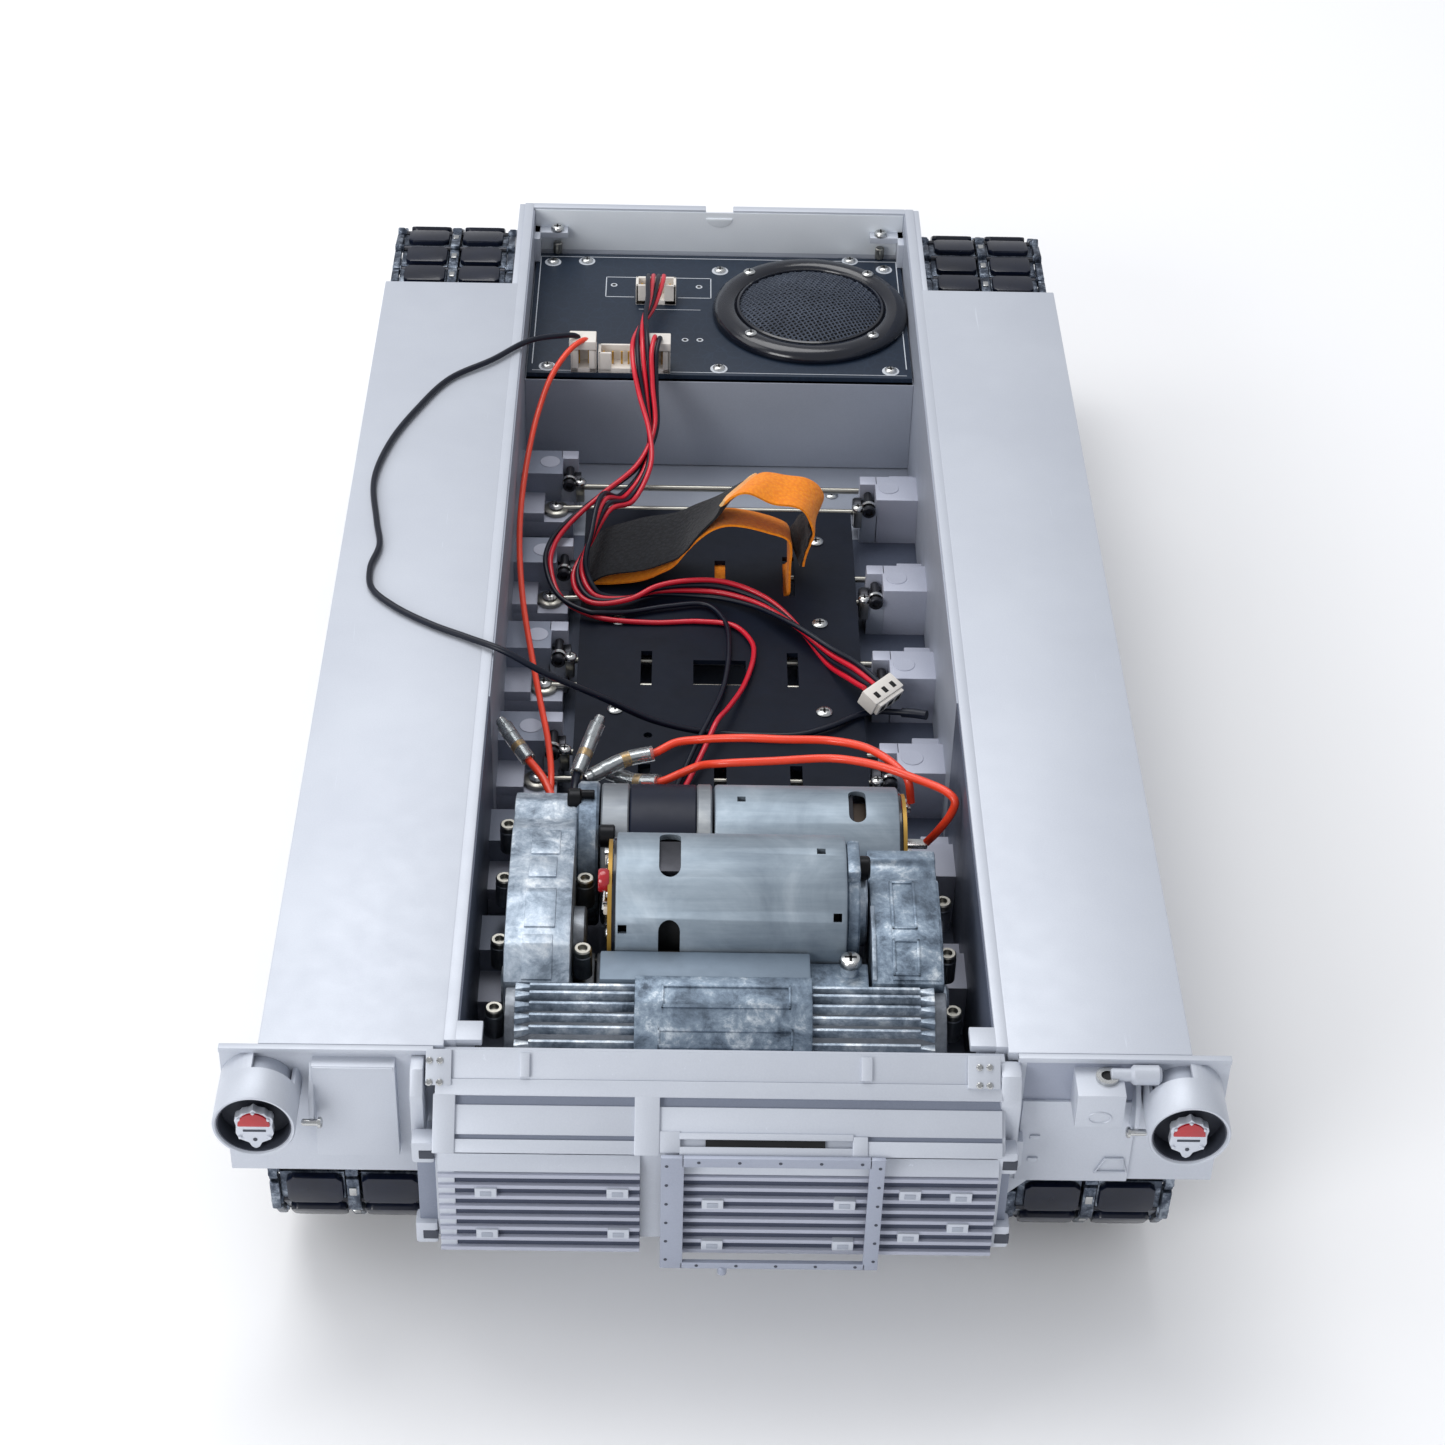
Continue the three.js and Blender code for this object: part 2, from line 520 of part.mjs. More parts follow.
const PAIR = [[-19.5, 316.2, 74.5], [-19.5, 314.5, 78.4], [-20.5, 308, 77], [-20.2, 300, 69],
  [-19.7, 289, 61], [-25, 275, 56.5], [-36, 263, 53.5], [-45, 251.5, 51.5], [-49.5, 241, 51.2],
  [-50.5, 231, 50.4], [-46.5, 219, 47.4], [-37, 212.5, 46], [-20, 211.5, 45], [-5.5, 212.5, 45],
  [4.5, 210.5, 45], [10, 202, 45], [10.5, 194.5, 45], [7.5, 180.5, 45], [2.5, 166.5, 47.2],
  [-0.8, 158.5, 49], [-4, 150.5, 47], [-9, 137.5, 45.3], [-13, 126, 46], [-14.5, 116, 48], [-14.5, 110.8, 51]];
const MOTOR_LEAD_A = [[-34.1, 119, 62], [-25.8, 124.6, 63], [-18.2, 126.2, 64], [-12.4, 129.6, 65],
  [-6.1, 129.8, 66], [4.6, 127, 69], [16, 125.4, 70], [28.2, 124.4, 70.6], [36.6, 120.3, 72],
  [41.8, 115.4, 72.6], [45.4, 110.9, 72.4], [47.6, 107.4, 71.6], [48.6, 104.9, 66]];
const MOTOR_LEAD_B = [[-30, 125.5, 58], [-23.3, 122.1, 58], [-16.6, 119.2, 60], [-11, 120.4, 62],
  [-6.1, 120.6, 64.5], [-0.7, 117.4, 68], [13, 116.8, 69.6], [27.9, 117, 70.6], [35, 114.2, 72],
  [41, 110.9, 73], [48.9, 106.3, 73.2], [57, 99.8, 74], [59, 97.4, 73], [58.2, 96.6, 69.5],
  [55, 96.4, 63.5], [52.6, 97.4, 59]];

function powerLeads() {
  return join([cord(BLACK_LEAD, 0.95, 76), cord(RED_LEAD, 0.95, 48), box(-46, -39, 314.2, 318.2, 74.3, 76)]);
}

function signalHarness() {
  const plug = box(-6.9, 6.9, -3.2, 3.2, -2.9, 2.9).rotate([20, 0, 48]).translate([44.9, 172.2, 49.4]);
  return join([cord(HARNESS, 1.7, 48), cord(PAIR, 1.2, 60), plug, box(-26, -15.5, 313.6, 315.6, 74.3, 76.5)]);
}

function motorLeads() {
  return join([cord(MOTOR_LEAD_A, 1.1, 28), cord(MOTOR_LEAD_B, 1.1, 32)]);
}

// ---- assembly -------------------------------------------------------------
add('hull_tub', hullTub(), ...PAINT);
add('rear_housing', rearHousing(), ...PAINT);
add('left_grille', grille(-65, -19.3), ...PAINT);
add('right_grille', grille(-13.8, 62.3), ...PAINT);
add('exhaust_frame', exhaustFrame(), ...PAINT);
add('electronics_deck', electronicsDeck(), ...PAINT);
add('circuit_board', circuitBoard(), 0x1b222b, 0.4, 0);
add('speaker', speaker(), ...BLACK_PLASTIC);
add('battery_tray', batteryTray(), ...BLACK_PLASTIC);
add('gearbox_left_case', gearboxLeft(), ...ZINC);
add('gearbox_right_case', gearboxRight(), ...ZINC);
add('gearbox_centre_case', gearboxCentre(), ...ZINC);
add('drive_motor', driveMotor(), ...STEEL);
add('steering_motor', steeringMotor(), ...STEEL);
add('battery_strap', batteryStrap(), 0xf08a1a, 0.9, 0);
add('power_leads', powerLeads(), 0x202226, 0.6, 0);
add('signal_harness', signalHarness(), 0xc01830, 0.6, 0);
add('motor_leads', motorLeads(), 0xe0432a, 0.6, 0);

for (const [name, side] of SIDES) {
  add(`${name}_fender`, fender(side), ...PAINT);
  add(`${name}_tail_light`, tailLight(side), ...PAINT);
  add(`${name}_track`, trackBand(side), ...RUBBER);
  add(`${name}_sprocket`, sprocket(side), ...DARK_METAL);
  add(`${name}_idler`, doubleWheel(IDLER_Y, IDLER_Z, side), ...PAINT);
  rollers(side).forEach((y, i) => add(`${name}_return_roller_${i + 1}`, returnRoller(y, side), ...DARK_METAL));
  pivots(side).forEach((y, i) => {
    add(`${name}_arm_${i + 1}`, swingArm(y, side), ...DARK_METAL);
    add(`${name}_wheel_${i + 1}`, doubleWheel(y + ARM_REACH, WHEEL_Z, side), ...PAINT);
  });
}

export default group;
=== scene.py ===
# Looks for the tracked tank chassis. Lengths are in millimetres, X to the right, Y forward from the
# rear edge of the deck and Z up from the ground.
import math
from functools import lru_cache

import bmesh
import bpy
from mathutils import Matrix, Vector


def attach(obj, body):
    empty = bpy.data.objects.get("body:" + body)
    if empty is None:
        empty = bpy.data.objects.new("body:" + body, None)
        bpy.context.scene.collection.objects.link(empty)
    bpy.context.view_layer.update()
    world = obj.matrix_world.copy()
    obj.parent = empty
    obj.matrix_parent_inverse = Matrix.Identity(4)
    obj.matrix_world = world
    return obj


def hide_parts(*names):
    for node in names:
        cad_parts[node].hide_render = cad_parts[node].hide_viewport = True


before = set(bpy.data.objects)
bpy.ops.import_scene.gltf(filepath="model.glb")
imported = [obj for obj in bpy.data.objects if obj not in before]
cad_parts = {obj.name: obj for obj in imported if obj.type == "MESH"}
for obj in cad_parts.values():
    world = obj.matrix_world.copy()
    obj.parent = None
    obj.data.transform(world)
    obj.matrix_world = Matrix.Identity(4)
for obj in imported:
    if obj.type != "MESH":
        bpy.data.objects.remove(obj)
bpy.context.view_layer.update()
MID_Y = 195.0  # the middle of the frame, counted from the rear edge of the deck


def metres(p):
    """A point in the frame's metres."""
    return Vector((p[0] / 1000, (p[1] - MID_Y) / 1000, p[2] / 1000))


def add(name, data):
    thing = bpy.data.objects.new(name, data)
    bpy.context.scene.collection.objects.link(thing)
    return thing


# ---- camera -------------------------------------------------------------
def make_camera():
    pitch, yaw, roll = math.radians(38.239), math.radians(-1.283), math.radians(1.631)
    forward = Vector((0, math.cos(pitch), -math.sin(pitch)))
    up = Vector((0, math.sin(pitch), math.cos(pitch)))
    turn = Matrix.Rotation(yaw, 3, "Z")
    forward, up, right = turn @ forward, turn @ up, turn @ Vector((1, 0, 0))
    rolled_right = right * math.cos(roll) + up * math.sin(roll)
    rolled_up = up * math.cos(roll) - right * math.sin(roll)
    data = bpy.data.cameras.new("camera")
    data.lens, data.sensor_width = 73.97, 36
    data.clip_start, data.clip_end = 0.01, 20
    cam = add("camera", data)
    place = Matrix((rolled_right, rolled_up, -forward)).transposed().to_4x4()
    place.translation = metres((-13.84, -484.13, 555.79))
    cam.matrix_world = place
    bpy.context.scene.camera = cam


make_camera()


# ---- materials ----------------------------------------------------------
def rgb(value):
    """A colour written as 0xRRGGBB, in linear light."""
    parts = [((value >> s) & 255) / 255 for s in (16, 8, 0)]
    return [p / 12.92 if p < 0.04045 else ((p + 0.055) / 1.055) ** 2.4 for p in parts] + [1]


class Nodes:
    """A material's node tree with short calls."""

    def __init__(self, name):
        self.mat = bpy.data.materials.new(name)
        self.mat.use_nodes = True
        self.tree = self.mat.node_tree
        self.shader = self.tree.nodes["Principled BSDF"]
        self.coords = self.tree.nodes.new("ShaderNodeTexCoord").outputs["Object"]

    def new(self, kind, **inputs):
        node = self.tree.nodes.new("ShaderNode" + kind)
        for key, value in inputs.items():
            node.inputs[key.replace("_", " ")].default_value = value
        return node

    def link(self, a, b):
        self.tree.links.new(a, b)

    def stretched(self, scale):
        mapping = self.new("Mapping")
        mapping.inputs["Scale"].default_value = scale
        self.link(self.coords, mapping.inputs["Vector"])
        return mapping.outputs["Vector"]

    def noise(self, scale, detail=4, rough=0.55, distortion=0, vector=None):
        node = self.new("TexNoise", Scale=scale, Detail=detail, Roughness=rough, Distortion=distortion)
        self.link(vector or self.coords, node.inputs["Vector"])
        return node.outputs["Fac"]

    def cells(self, scale, vector=None, feature="F1"):
        node = self.new("TexVoronoi", Scale=scale)
        node.feature = feature
        self.link(vector or self.coords, node.inputs["Vector"])
        return node

    def ramp(self, source, stops):
        node = self.new("ValToRGB")
        items = node.color_ramp.elements
        while len(items) < len(stops):
            items.new(0.5)
        for item, (at, colour) in zip(items, stops):
            item.position, item.color = at, colour
        self.link(source, node.inputs["Fac"])
        return node.outputs["Color"]

    def spread(self, source, low, high, start=0.0, stop=1.0):
        node = self.new("MapRange")
        for key, value in (("From Min", start), ("From Max", stop), ("To Min", low), ("To Max", high)):
            node.inputs[key].default_value = value
        self.link(source, node.inputs["Value"])
        return node.outputs["Result"]

    def mix(self, factor, a, b):
        node = self.new("Mix")
        node.data_type = "RGBA"
        for socket, value in ((node.inputs[0], factor), (node.inputs[6], a), (node.inputs[7], b)):
            if isinstance(value, bpy.types.NodeSocket):
                self.link(value, socket)
            else:
                socket.default_value = value
        return node.outputs[2]

    def colour(self, source):
        self.link(source, self.shader.inputs["Base Color"])

    def rough(self, source):
        self.link(source, self.shader.inputs["Roughness"])

    def bump(self, source, strength, distance):
        node = self.new("Bump", Strength=strength, Distance=distance)
        self.link(source, node.inputs["Height"])
        before = self.shader.inputs["Normal"].links
        if before:
            self.link(before[0].from_socket, node.inputs["Normal"])
        self.link(node.outputs["Normal"], self.shader.inputs["Normal"])

    def set(self, **values):
        for key, value in values.items():
            self.shader.inputs[key.replace("_", " ")].default_value = value


def lighter(colour, times):
    return [min(1, c * times) for c in colour[:3]] + [1]


def paint(name, light, dark):
    """Sprayed metallic paint: soft cloudiness, fine grain and a few hairline scratches."""
    n = Nodes(name)
    light, dark = rgb(light), rgb(dark)
    cloud = n.noise(22, 5, 0.6)
    base = n.ramp(cloud, [(0.3, dark), (0.7, light)])
    grain = n.noise(2600, 2, 0.7)
    base = n.mix(0.35, base, n.ramp(grain, [(0.35, dark), (0.65, light)]))
    scratch = n.noise(420, 3, 0.8, 0.4, n.stretched((1, 0.04, 1)))
    mark = n.ramp(scratch, [(0.7, (0, 0, 0, 1)), (0.76, (0.35, 0.35, 0.35, 1))])
    n.colour(n.mix(mark, base, lighter(light, 1.35)))
    n.rough(n.spread(n.noise(160, 4), 0.39, 0.56))
    n.bump(grain, 0.12, 0.00015)
    n.set(Metallic=0.25)
    return n.mat


def casting(name, tones, rough, metal, scale):
    """Bare cast metal with blotches of four tones."""
    n = Nodes(name)
    tones = [rgb(t) for t in tones]
    blotch = n.noise(scale, 9, 0.72, 0.25)
    base = n.ramp(blotch, [(0.36, tones[0]), (0.47, tones[1]), (0.55, tones[2]), (0.64, tones[3])])
    wash = n.noise(scale * 0.35, 4, 0.5, 0.5)
    n.colour(n.mix(n.spread(wash, 0.0, 0.55, 0.4, 0.7), base, tones[1]))
    n.rough(n.spread(n.noise(scale * 4, 6), rough - 0.14, rough + 0.16))
    n.bump(n.noise(scale * 9, 6, 0.7), 0.3, 0.0002)
    n.bump(blotch, 0.4, 0.0006)
    n.set(Metallic=metal)
    return n.mat


def rolled_steel(name, tones, rough, metal):
    """Zinc plated sheet: broad spangle with fine marks along the sheet."""
    n = Nodes(name)
    tones = [rgb(t) for t in tones]
    cloud = n.noise(55, 6, 0.6, 0.6)
    base = n.ramp(cloud, [(0.3, tones[0]), (0.52, tones[1]), (0.72, tones[2])])
    lines = n.noise(300, 5, 0.7, 0, n.stretched((0.12, 1.6, 1.6)))
    n.colour(n.mix(0.2, base, n.ramp(lines, [(0.35, tones[0]), (0.65, tones[2])])))
    n.rough(n.spread(n.noise(200, 5), rough - 0.06, rough + 0.16))
    n.bump(lines, 0.04, 0.0001)
    n.set(Metallic=metal)
    return n.mat


def plain(name, colour, rough, metal, vary, grain, bump, coat=0.0, shine=0.5):
    """Moulded or machined surface with slight shade changes and a fine texture."""
    n = Nodes(name)
    tones = lighter(rgb(colour), 1 - vary), lighter(rgb(colour), 1 + vary)
    n.colour(n.ramp(n.noise(90, 6, 0.65), [(0.3, tones[0]), (0.7, tones[1])]))
    n.rough(n.spread(n.noise(260, 4), max(0.05, rough - 0.08), min(1, rough + 0.1)))
    n.bump(n.noise(grain, 4, 0.6), bump, 0.00015)
    n.set(Metallic=metal, Coat_Weight=coat, Specular_IOR_Level=shine)
    return n.mat


def fabric(name, colour, dark, nap=0.35):
    """Hook and loop webbing: a woven ground with short nap."""
    n = Nodes(name)
    colour, dark = rgb(colour), rgb(dark)
    weave = n.cells(900)
    fuzz = n.noise(2200, 3, 0.8)
    base = n.ramp(weave.outputs["Distance"], [(0.1, colour), (0.75, dark)])
    n.colour(n.mix(n.spread(fuzz, 0, 0.5), base, lighter(colour, 1.25)))
    n.bump(weave.outputs["Distance"], 0.5, 0.0003)
    n.bump(fuzz, nap, 0.0004)
    n.set(Roughness=0.92, Sheen_Weight=0.12, Sheen_Roughness=0.5)
    return n.mat


def board_face():
    """Dark solder mask with faint copper tracks under it."""
    n = Nodes("board")
    traces = n.cells(260, n.stretched((1, 1, 0.01)), "DISTANCE_TO_EDGE")
    base = n.ramp(traces.outputs["Distance"], [(0.02, rgb(0x1B2A3C)), (0.05, rgb(0x152232))])
    n.colour(n.mix(n.spread(n.noise(40, 5), 0, 0.6), base, rgb(0x1F2E42)))
    n.bump(traces.outputs["Distance"], 0.08, 0.0001)
    n.set(Roughness=0.5, Specular_IOR_Level=0.35)
    return n.mat


def clear_sleeve():
    """Thin clear plastic tube."""
    n = Nodes("clear_sleeve")
    n.colour(n.ramp(n.noise(300, 3), [(0.3, rgb(0xDDE4E8)), (0.7, rgb(0xF4F8FA))]))
    n.rough(n.spread(n.noise(500, 3), 0.08, 0.2))
    n.set(Transmission_Weight=0.9, IOR=1.45)
    return n.mat


# Besides the hull paint and the block paint, these rows are copies of the one hull paint: the lightest is
# painted light on a lit face, the darker ones are painted shade inside the hull, in recesses and on shaded
# faces.
PAINTS = {
    "paint": (0xC8CDD6, 0xBEC3CD), "pale": (0xF4F8FC, 0xEAF0F6), "paint_in": (0xA9AFBB, 0x9CA2AE),
    "paint_deep": (0x5A6172, 0x4E5565), "paint_mid": (0xA3A9B8, 0x989EAE),
    "paint_dark": (0x8B92A2, 0x7F8696), "paint_block": (0xB4B8C6, 0xA8ACBB),
}
# Four tones from dark to light, roughness, metal, size of the blotches.
CASTINGS = {
    "zinc": ((0x5C6875, 0x98A5B3, 0xC2CCD6, 0xF2F6F8), 0.42, 0.6, 130),
    # The next two rows are darker copies of the zinc above: painted shade.
    "zinc_mid": ((0x3F4A57, 0x748393, 0x93A2B1, 0xD8E0E6), 0.44, 0.6, 130),
    "zinc_dark": ((0x55595F, 0x787D84, 0x888D94, 0xA4A9AE), 0.4, 0.8, 45),
    "link_steel": ((0x252B36, 0x4A525F, 0x77808D, 0xB4BECA), 0.34, 0.9, 260),
}
SHEETS = {
    "can": ((0x7F8C98, 0x98A5B0, 0xB4BFC8), 0.46, 0.62),
    "can_ring": ((0x7A8088, 0x8E9398, 0xB2B5B6), 0.42, 0.7),
}
# Colour, roughness, metal, change of shade, grain, bump, coat, shine.
PLAIN = {
    "bar": (0x707E8C, 0.45, 0.4, 0.1, 700, 0.08),
    "can_black": (0x0A1226, 0.42, 0.0, 0.15, 600, 0.08, 0.0, 0.3),
    "screw": (0xC4C5C4, 0.24, 1.0, 0.1, 900, 0.06), "wire_steel": (0xA8A69E, 0.3, 1.0, 0.15, 900, 0.06),
    "dark_steel": (0x3A3B40, 0.38, 0.85, 0.25, 600, 0.15),
    "black_screw": (0x17181B, 0.35, 0.7, 0.2, 900, 0.08),
    "pad": (0x0B1224, 0.3, 0.0, 0.3, 420, 0.12, 0.25, 0.35), "tyre": (0x16191F, 0.6, 0.0, 0.2, 500, 0.2),
    "black_plastic": (0x080D1A, 0.2, 0.0, 0.2, 600, 0.05, 0.3),
    # Of the next row, the second colour is painted shade, the black drawn into holes, slots, sockets and screw
    # recesses; it also draws the speaker's black cone.
    "tray": (0x0E1523, 0.5, 0.0, 0.2, 900, 0.1, 0.0, 0.15), "hole": (0x08090B, 0.7, 0.0, 0.1, 500, 0.05),
    "nylon": (0xE9E4DC, 0.42, 0.0, 0.06, 500, 0.06), "print": (0xC8CDD4, 0.5, 0.0, 0.05, 500, 0.02),
    # On the next row, the copper of the windings is darkened: painted shade inside the motor can.
    "brass": (0xC79A4A, 0.34, 0.55, 0.15, 600, 0.08), "copper": (0x4A4038, 0.4, 0.8, 0.2, 600, 0.08),
    "red_wire": (0xD0172F, 0.3, 0.0, 0.1, 500, 0.03, 0.2),
    "hot_wire": (0xF04426, 0.34, 0.0, 0.1, 500, 0.03, 0.2),
    "black_wire": (0x0B1222, 0.34, 0.0, 0.2, 500, 0.03, 0.0, 0.35),
    "shield": (0xC9CED8, 0.35, 0.2, 0.05, 500, 0.05),
    "red_lens": (0xA81822, 0.22, 0.0, 0.15, 400, 0.05, 0.5),
    # The next row is a dark sheet that stands in for the shade behind the grille slats: painted shade.
    "grille_back": (0x454A5A, 0.7, 0.0, 0.1, 500, 0.05, 0.0, 0.2),
    # On the next row, the second colour draws the black marks on the lamp shields and small dark dots for the
    # frame's screws, and painted shade inside the lamp hoods, sockets and gaps.
    "seam": (0xF3C78A, 0.8, 0.0, 0.1, 900, 0.2), "lamp_dark": (0x3F434E, 0.55, 0.2, 0.15, 500, 0.05),
    "brass_ring": (0xB08A3C, 0.42, 0.5, 0.15, 600, 0.08),
    "mesh_wire": (0x5E6572, 0.35, 0.75, 0.2, 900, 0.05),
}
FABRICS = {
    "orange_strap": (0xFF9408, 0xF07800), "black_strap": (0x16181E, 0x07080C, 0.6),
}


MATERIALS = {"board": board_face(), "clear_sleeve": clear_sleeve()}
for make_material, table in ((paint, PAINTS), (casting, CASTINGS), (rolled_steel, SHEETS), (plain, PLAIN),
                             (fabric, FABRICS)):
    for key, row in table.items():
        MATERIALS[key] = make_material(key, *row)


# ---- mesh building ------------------------------------------------------
def read(bm):
    bmesh.ops.recalc_face_normals(bm, faces=bm.faces)
    bm.verts.index_update()
    result = ([v.co.copy() for v in bm.verts], [[v.index for v in f.verts] for f in bm.faces])
    bm.free()
    return result


def soften(bm, bevel):
    bmesh.ops.bevel(bm, geom=bm.edges, offset=bevel, segments=2, profile=0.6, affect="EDGES",
                    clamp_overlap=True)


@lru_cache(maxsize=None)
def block(w, d, h, bevel):
    bm = bmesh.new()
    bmesh.ops.create_cube(bm, size=1)
    bmesh.ops.scale(bm, vec=(w, d, h), verts=bm.verts)
    if bevel:
        soften(bm, bevel)
    return read(bm)


class Piece:
    """Collects closed shapes into one mesh. Points are in millimetres."""

    def __init__(self):
        self.verts, self.faces, self.mats, self.names = [], [], [], []

    def put(self, shape, mat, place=None):
        verts, faces = shape
        if mat not in self.names:
            self.names.append(mat)
        start = len(self.verts)
        self.verts += [place @ v for v in verts] if place else verts
        self.faces += [[start + i for i in f] for f in faces]
        self.mats += [self.names.index(mat)] * len(faces)

    def box(self, x0, x1, y0, y1, z0, z1, mat, bevel=0.25, place=None):
        shape = block(round(x1 - x0, 3), round(y1 - y0, 3), round(z1 - z0, 3), bevel)
        centre = Matrix.Translation(((x0 + x1) / 2, (y0 + y1) / 2, (z0 + z1) / 2))
        self.put(shape, mat, place @ centre if place else centre)

    def prism(self, points, a, b, axis, mat, bevel=0.2, place=None):
        """An outline drawn out along axis. Outlines are (y, z) for x, (x, z) for y and (x, y) for z."""
        order = {"x": lambda p, t: (t, p[0], p[1]), "y": lambda p, t: (p[0], t, p[1]),
                 "z": lambda p, t: (p[0], p[1], t)}[axis]
        bm = bmesh.new()
        low = [bm.verts.new(order(p, a)) for p in points]
        high = [bm.verts.new(order(p, b)) for p in points]
        bm.faces.new(low)
        bm.faces.new(high[::-1])
        for i in range(len(points)):
            j = (i + 1) % len(points)
            bm.faces.new((low[j], low[i], high[i], high[j]))
        bmesh.ops.recalc_face_normals(bm, faces=bm.faces)
        if bevel:
            soften(bm, bevel)
        self.put(read(bm), mat, place)

    def turned(self, profile, axis, centre, mat, segments=32, place=None):
        """A turned shape: profile is (radius, distance along the axis)."""
        out = {"x": lambda r, c, s, t: (t, r * c, r * s), "y": lambda r, c, s, t: (r * s, t, r * c),
               "z": lambda r, c, s, t: (r * c, r * s, t)}[axis]
        ring_ids, verts, faces = [], [], []
        for r, t in profile:
            if r < 1e-6:
                verts.append(Vector(out(0, 1, 0, t)))
                ring_ids.append([len(verts) - 1])
                continue
            start = len(verts)
            for i in range(segments):
                turn = 2 * math.pi * i / segments
                verts.append(Vector(out(r, math.cos(turn), math.sin(turn), t)))
            ring_ids.append(list(range(start, start + segments)))
        for one, two in zip(ring_ids, ring_ids[1:]):
            for i in range(segments):
                j = (i + 1) % segments
                if len(one) == 1:
                    faces.append([one[0], two[i], two[j]])
                elif len(two) == 1:
                    faces.append([one[i], two[0], one[j]])
                else:
                    faces.append([one[i], two[i], two[j], one[j]])
        if len(ring_ids[0]) > 1 and profile[0] != profile[-1]:
            faces.append(ring_ids[0][::-1])
            faces.append(ring_ids[-1])
        bm = bmesh.new()
        made = [bm.verts.new(v) for v in verts]
        for f in faces:
            bm.faces.new([made[i] for i in f])
        if profile[0] == profile[-1]:
            bmesh.ops.remove_doubles(bm, verts=bm.verts, dist=1e-5)
        shift = Matrix.Translation(centre)
        self.put(read(bm), mat, place @ shift if place else shift)

    def rod(self, axis, at, a, b, radius, mat, segments=20, bevel=0.3, place=None):
        bevel = min(bevel, radius * 0.4, abs(b - a) * 0.4)
        profile = [(0, a), (radius - bevel, a), (radius, a + bevel), (radius, b - bevel),
                   (radius - bevel, b), (0, b)]
        centre = {"x": (0, at[0], at[1]), "y": (at[0], 0, at[1]), "z": (at[0], at[1], 0)}[axis]
        self.turned(profile, axis, centre, mat, segments, place)

    def tube(self, points, radius, mat, sides=10):
        path = [Vector(p) for p in points]
        verts, faces = [], []
        side = None
        for i, p in enumerate(path):
            ahead = (path[min(i + 1, len(path) - 1)] - path[max(i - 1, 0)]).normalized()
            if side is None:
                side = ahead.orthogonal().normalized()
            side = (side - ahead * side.dot(ahead)).normalized()
            other = ahead.cross(side)
            for k in range(sides):
                turn = 2 * math.pi * k / sides
                verts.append(p + radius * (math.cos(turn) * side + math.sin(turn) * other))
        for i in range(len(path) - 1):
            for k in range(sides):
                a, b = i * sides + k, i * sides + (k + 1) % sides
                faces.append([a, b, b + sides, a + sides])
        last = (len(path) - 1) * sides
        faces.append(list(range(sides))[::-1])
        faces.append([last + k for k in range(sides)])
        self.put((verts, faces), mat)

    def screw(self, at, normal, radius=2.2, height=1.2, mat="screw", kind="cross"):
        """A screw head whose underside is at a point, facing along normal."""
        place = Matrix.Translation(at) @ Vector(normal).to_track_quat("Z", "Y").to_matrix().to_4x4()
        if kind == "hex":
            profile = [(0, 0), (radius, 0), (radius, height - 0.3), (radius - 0.3, height),
                       (radius * 0.55, height), (radius * 0.55, height * 0.4), (0, height * 0.4)]
            self.turned(profile, "z", (0, 0, 0), mat, 16, place)
            return
        profile = [(0, 0), (radius, 0), (radius, height * 0.45), (radius * 0.8, height * 0.85),
                   (radius * 0.45, height), (0, height)]
        self.turned(profile, "z", (0, 0, 0), mat, 20, place)
        arm, thin = radius * 0.52, radius * 0.13
        # The cross recess is drawn as a flat black cross on the head: painted shade.
        for across, along in ((arm, thin), (thin, arm)):
            self.box(-across, across, -along, along, height - 0.1, height + 0.03, "hole", 0, place)

    def mesh(self, name, points, angle):
        mesh = bpy.data.meshes.new(name)
        mesh.from_pydata(points, [], self.faces)
        for key in self.names:
            mesh.materials.append(MATERIALS[key])
        mesh.polygons.foreach_set("material_index", self.mats)
        mesh.validate()
        mesh.shade_smooth()
        mesh.set_sharp_from_angle(angle=math.radians(angle))
        return mesh

    def make(self, name, body, replaces=(), slot=None):
        """The object, riding on a body and drawn in place of CAD nodes."""
        thing = add(name, self.mesh(name, [metres(v) for v in self.verts], 38))
        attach(thing, body)
        if replaces:
            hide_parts(*replaces)
        return thing


def smooth_path(points, count):
    """A centripetal spline through the points, resampled to even steps."""
    pts = [Vector(p) for p in points]
    pts = [pts[0] * 2 - pts[1], *pts, pts[-1] * 2 - pts[-2]]
    fine = []
    for p0, p1, p2, p3 in zip(pts, pts[1:], pts[2:], pts[3:]):
        t0 = 0.0
        t1 = t0 + (p1 - p0).length ** 0.5
        t2 = t1 + (p2 - p1).length ** 0.5
        t3 = t2 + (p3 - p2).length ** 0.5
        for k in range(24):
            t = t1 + (t2 - t1) * k / 24
            a1 = p0 * ((t1 - t) / (t1 - t0)) + p1 * ((t - t0) / (t1 - t0))
            a2 = p1 * ((t2 - t) / (t2 - t1)) + p2 * ((t - t1) / (t2 - t1))
            a3 = p2 * ((t3 - t) / (t3 - t2)) + p3 * ((t - t2) / (t3 - t2))
            b1 = a1 * ((t2 - t) / (t2 - t0)) + a2 * ((t - t0) / (t2 - t0))
            b2 = a2 * ((t3 - t) / (t3 - t1)) + a3 * ((t - t1) / (t3 - t1))
            fine.append(b1 * ((t2 - t) / (t2 - t1)) + b2 * ((t - t1) / (t2 - t1)))
    fine.append(pts[-2])
    return resample(fine, count)


def resample(points, count):
    steps = [(b - a).length for a, b in zip(points, points[1:])]
    total, made, i, done = sum(steps), [points[0]], 0, 0.0
    for k in range(1, count - 1):
        want = total * k / (count - 1)
        while done + steps[i] < want:
            done += steps[i]
            i += 1
        made.append(points[i].lerp(points[i + 1], (want - done) / steps[i]))
    return [*made, points[-1]]


def path_length(points):
    return sum((b - a).length for a, b in zip(points, points[1:]))


